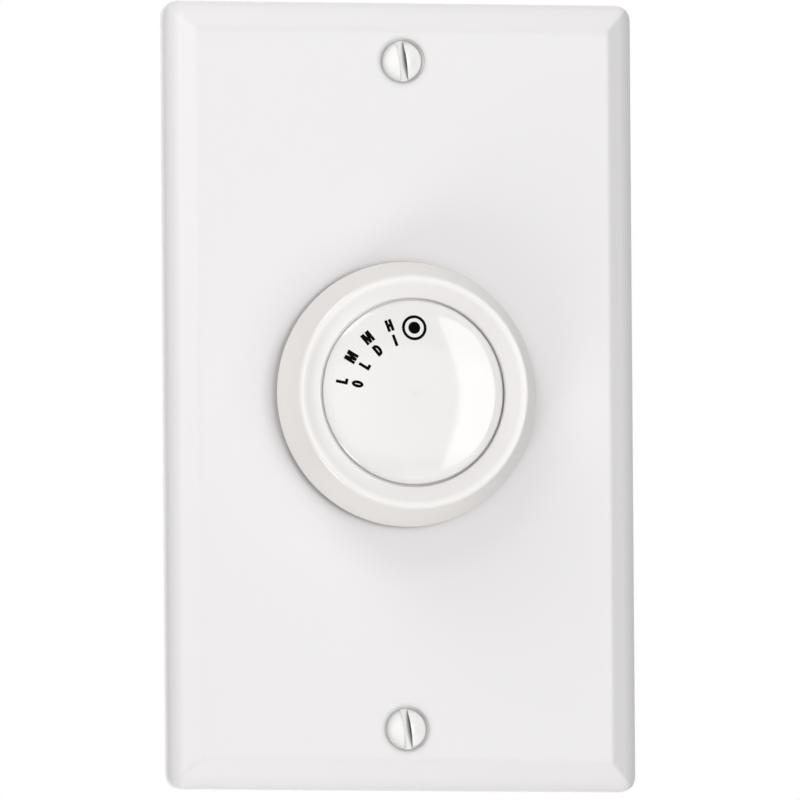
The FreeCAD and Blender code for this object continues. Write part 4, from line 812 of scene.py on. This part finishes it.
# Painted shade darkens the groove round the cap, more towards the lower right.
paint_crevice_shade(cap_plastic, (0.13, 0.125, 0.10, 1), reach=1.2 * mm, amount=0.45, gather=2.0,
     lean=lower_right * cap_lean / cap_radius)
tree = cap_plastic.node_tree
place = place_in(tree)
squared = squared_radius(tree, place)
reached = worked_out(tree, "DIVIDE", squared, form_radius ** 2)
growth = worked_out(tree, "POWER", reached, (form_power - 1) / 2)
slope = worked_out(tree, "MULTIPLY", growth, form_slope / form_radius)
dome_normal = wired(tree, "ShaderNodeCombineXYZ", {
    "X": worked_out(tree, "MULTIPLY", place["X"], slope), "Y": -1.0,
    "Z": worked_out(tree, "MULTIPLY", place["Z"], slope)})
turned = wired(tree, "ShaderNodeVectorTransform", {0: dome_normal.outputs[0]},
               vector_type="NORMAL", convert_from="OBJECT", convert_to="WORLD")
on_dome = worked_out(tree, "MULTIPLY", worked_out(tree, "LESS_THAN", squared, form_radius ** 2),
                     worked_out(tree, "LESS_THAN", place["Y"], cap_front + dome_depth))
# A Mix node's vectors are its inputs 4 and 5 and its output 1.
chosen = wired(tree, "ShaderNodeMix", {
    0: on_dome, 4: wired(tree, "ShaderNodeNewGeometry").outputs["Normal"], 5: turned.outputs[0]},
    data_type="VECTOR")
lay_grain_on(tree, chosen.outputs[1])
dress(cap_plastic, "knob_cap")


# The speed marks are printed on the cap in black: a ringed dot for off, then HI, MD, ML and LO, each
# a step further round and read outwards, the whole print a little off centre. The ink is a thin film
# that follows the cap's dome.
speeds = ("HI", "MD", "ML", "LO")
mark_step = 19.5
mark_radii = (10.95 * mm, 8.66 * mm)
mark_shift = Vector((0.04, 0, -0.74)) * mm
mark_half_height = 0.86 * mm
mark_stroke = 0.43 * mm
mark_half_widths = {"H": 0.50 * mm, "I": mark_stroke / 2, "L": 0.42 * mm, "M": 0.74 * mm,
                    "D": 0.50 * mm, "O": 0.50 * mm}
off_mark_radius = 10.02 * mm
off_ring_outer, off_ring_inner, off_dot = 1.82 * mm, 1.41 * mm, 0.88 * mm
ink_thickness = 0.015 * mm
curve_steps = 40


def oval(half_width, half_height, first=0.0, last=360.0):
    """Points round an oval, or round a part of it; first and last are in degrees."""
    whole = last - first >= 360
    steps = curve_steps if whole else curve_steps // 2
    angles = [math.radians(first + (last - first) * n / steps)
              for n in range(steps if whole else steps + 1)]
    return [(half_width * math.cos(angle), half_height * math.sin(angle)) for angle in angles]


def letter(sign):
    """The outlines of one letter about its centre, outer ones and holes.

    w and h are half its width and its height, and s is its stroke.
    """
    w, h, s = mark_half_widths[sign], mark_half_height, mark_stroke
    if sign == "I":
        return [[(-w, -h), (w, -h), (w, h), (-w, h)]]
    if sign == "H":
        return [[(-w, -h), (s - w, -h), (s - w, -s / 2), (w - s, -s / 2), (w - s, -h), (w, -h),
                 (w, h), (w - s, h), (w - s, s / 2), (s - w, s / 2), (s - w, h), (-w, h)]]
    if sign == "L":
        return [[(-w, -h), (w, -h), (w, s - h), (s - w, s - h), (s - w, h), (-w, h)]]
    if sign == "M":
        foot, inner, valley, shoulder = 0.45 * s, h - 2.4 * s, 2.2 * s - h, w - 1.4 * s
        return [[(-w, -h), (s - w, -h), (s - w, inner), (-foot, -h), (foot, -h), (w - s, inner),
                 (w - s, -h), (w, -h), (w, h), (shoulder, h), (0, valley), (-shoulder, h), (-w, h)]]
    if sign == "D":
        bowl = -0.05 * mm
        outer = [(bowl + x, z) for x, z in oval(w - bowl, h, -90, 90)]
        inner = [(bowl + x, z) for x, z in oval(w - bowl - s, h - s, -90, 90)]
        return [[(-w, -h)] + outer + [(-w, h)], [(s - w, s - h)] + inner + [(s - w, h - s)]]
    return [oval(w, h), oval(w - s, h - s)]


def printed(outlines, degrees, radius):
    """A mark laid on the dome; degrees run anticlockwise from the top."""
    flat = bpy.data.curves.new("mark", "CURVE")
    flat.dimensions = "2D"
    flat.fill_mode = "BOTH"
    flat.extrude = ink_thickness
    for outline in outlines:
        line = flat.splines.new("POLY")
        line.points.add(len(outline) - 1)
        for point, (x, z) in zip(line.points, outline):
            point.co = (x, z, 0, 1)
        line.use_cyclic_u = True
    holder = bpy.data.objects.new("mark", flat)
    scene.collection.objects.link(holder)
    evaluated = holder.evaluated_get(bpy.context.evaluated_depsgraph_get())
    mark = bpy.data.meshes.new_from_object(evaluated)
    bpy.data.objects.remove(holder)
    swing = math.radians(degrees)
    for vertex in mark.vertices:
        u, v, side = vertex.co
        x = u * math.cos(swing) - (v + radius) * math.sin(swing) + mark_shift.x
        z = u * math.sin(swing) + (v + radius) * math.cos(swing) + mark_shift.z
        dome = cap_front + dome_radius - math.sqrt(dome_radius ** 2 - x * x - z * z)
        vertex.co = (x, dome - side, z)
    return mark


off_ring = [oval(off_ring_outer, off_ring_outer), oval(off_ring_inner, off_ring_inner)]
marks = [(off_ring, 0, off_mark_radius), ([oval(off_dot, off_dot)], 0, off_mark_radius)]
for speed, word in enumerate(speeds, start=1):
    marks += [(letter(sign), speed * mark_step, radius) for sign, radius in zip(word, mark_radii)]
ink_film = bmesh.new()
for outlines, degrees, radius in marks:
    ink_film.from_mesh(printed(outlines, degrees, radius))
bmesh.ops.remove_doubles(ink_film, verts=ink_film.verts, dist=weld_distance)
bmesh.ops.recalc_face_normals(ink_film, faces=ink_film.faces)
ink_mesh = bpy.data.meshes.new("speed_marks")
ink_film.to_mesh(ink_mesh)
ink_film.free()
print_ink = moulding(
    "print_ink", (0.002, 0.002, 0.002, 1), drift=0.3, drift_size=0.5 * mm, grain_size=0.08 * mm,
    roughness=0.65, roughness_drift=0.1, relief=0.001 * mm, specular=0.02)
added("speed_marks", ink_mesh, "knob", print_ink)
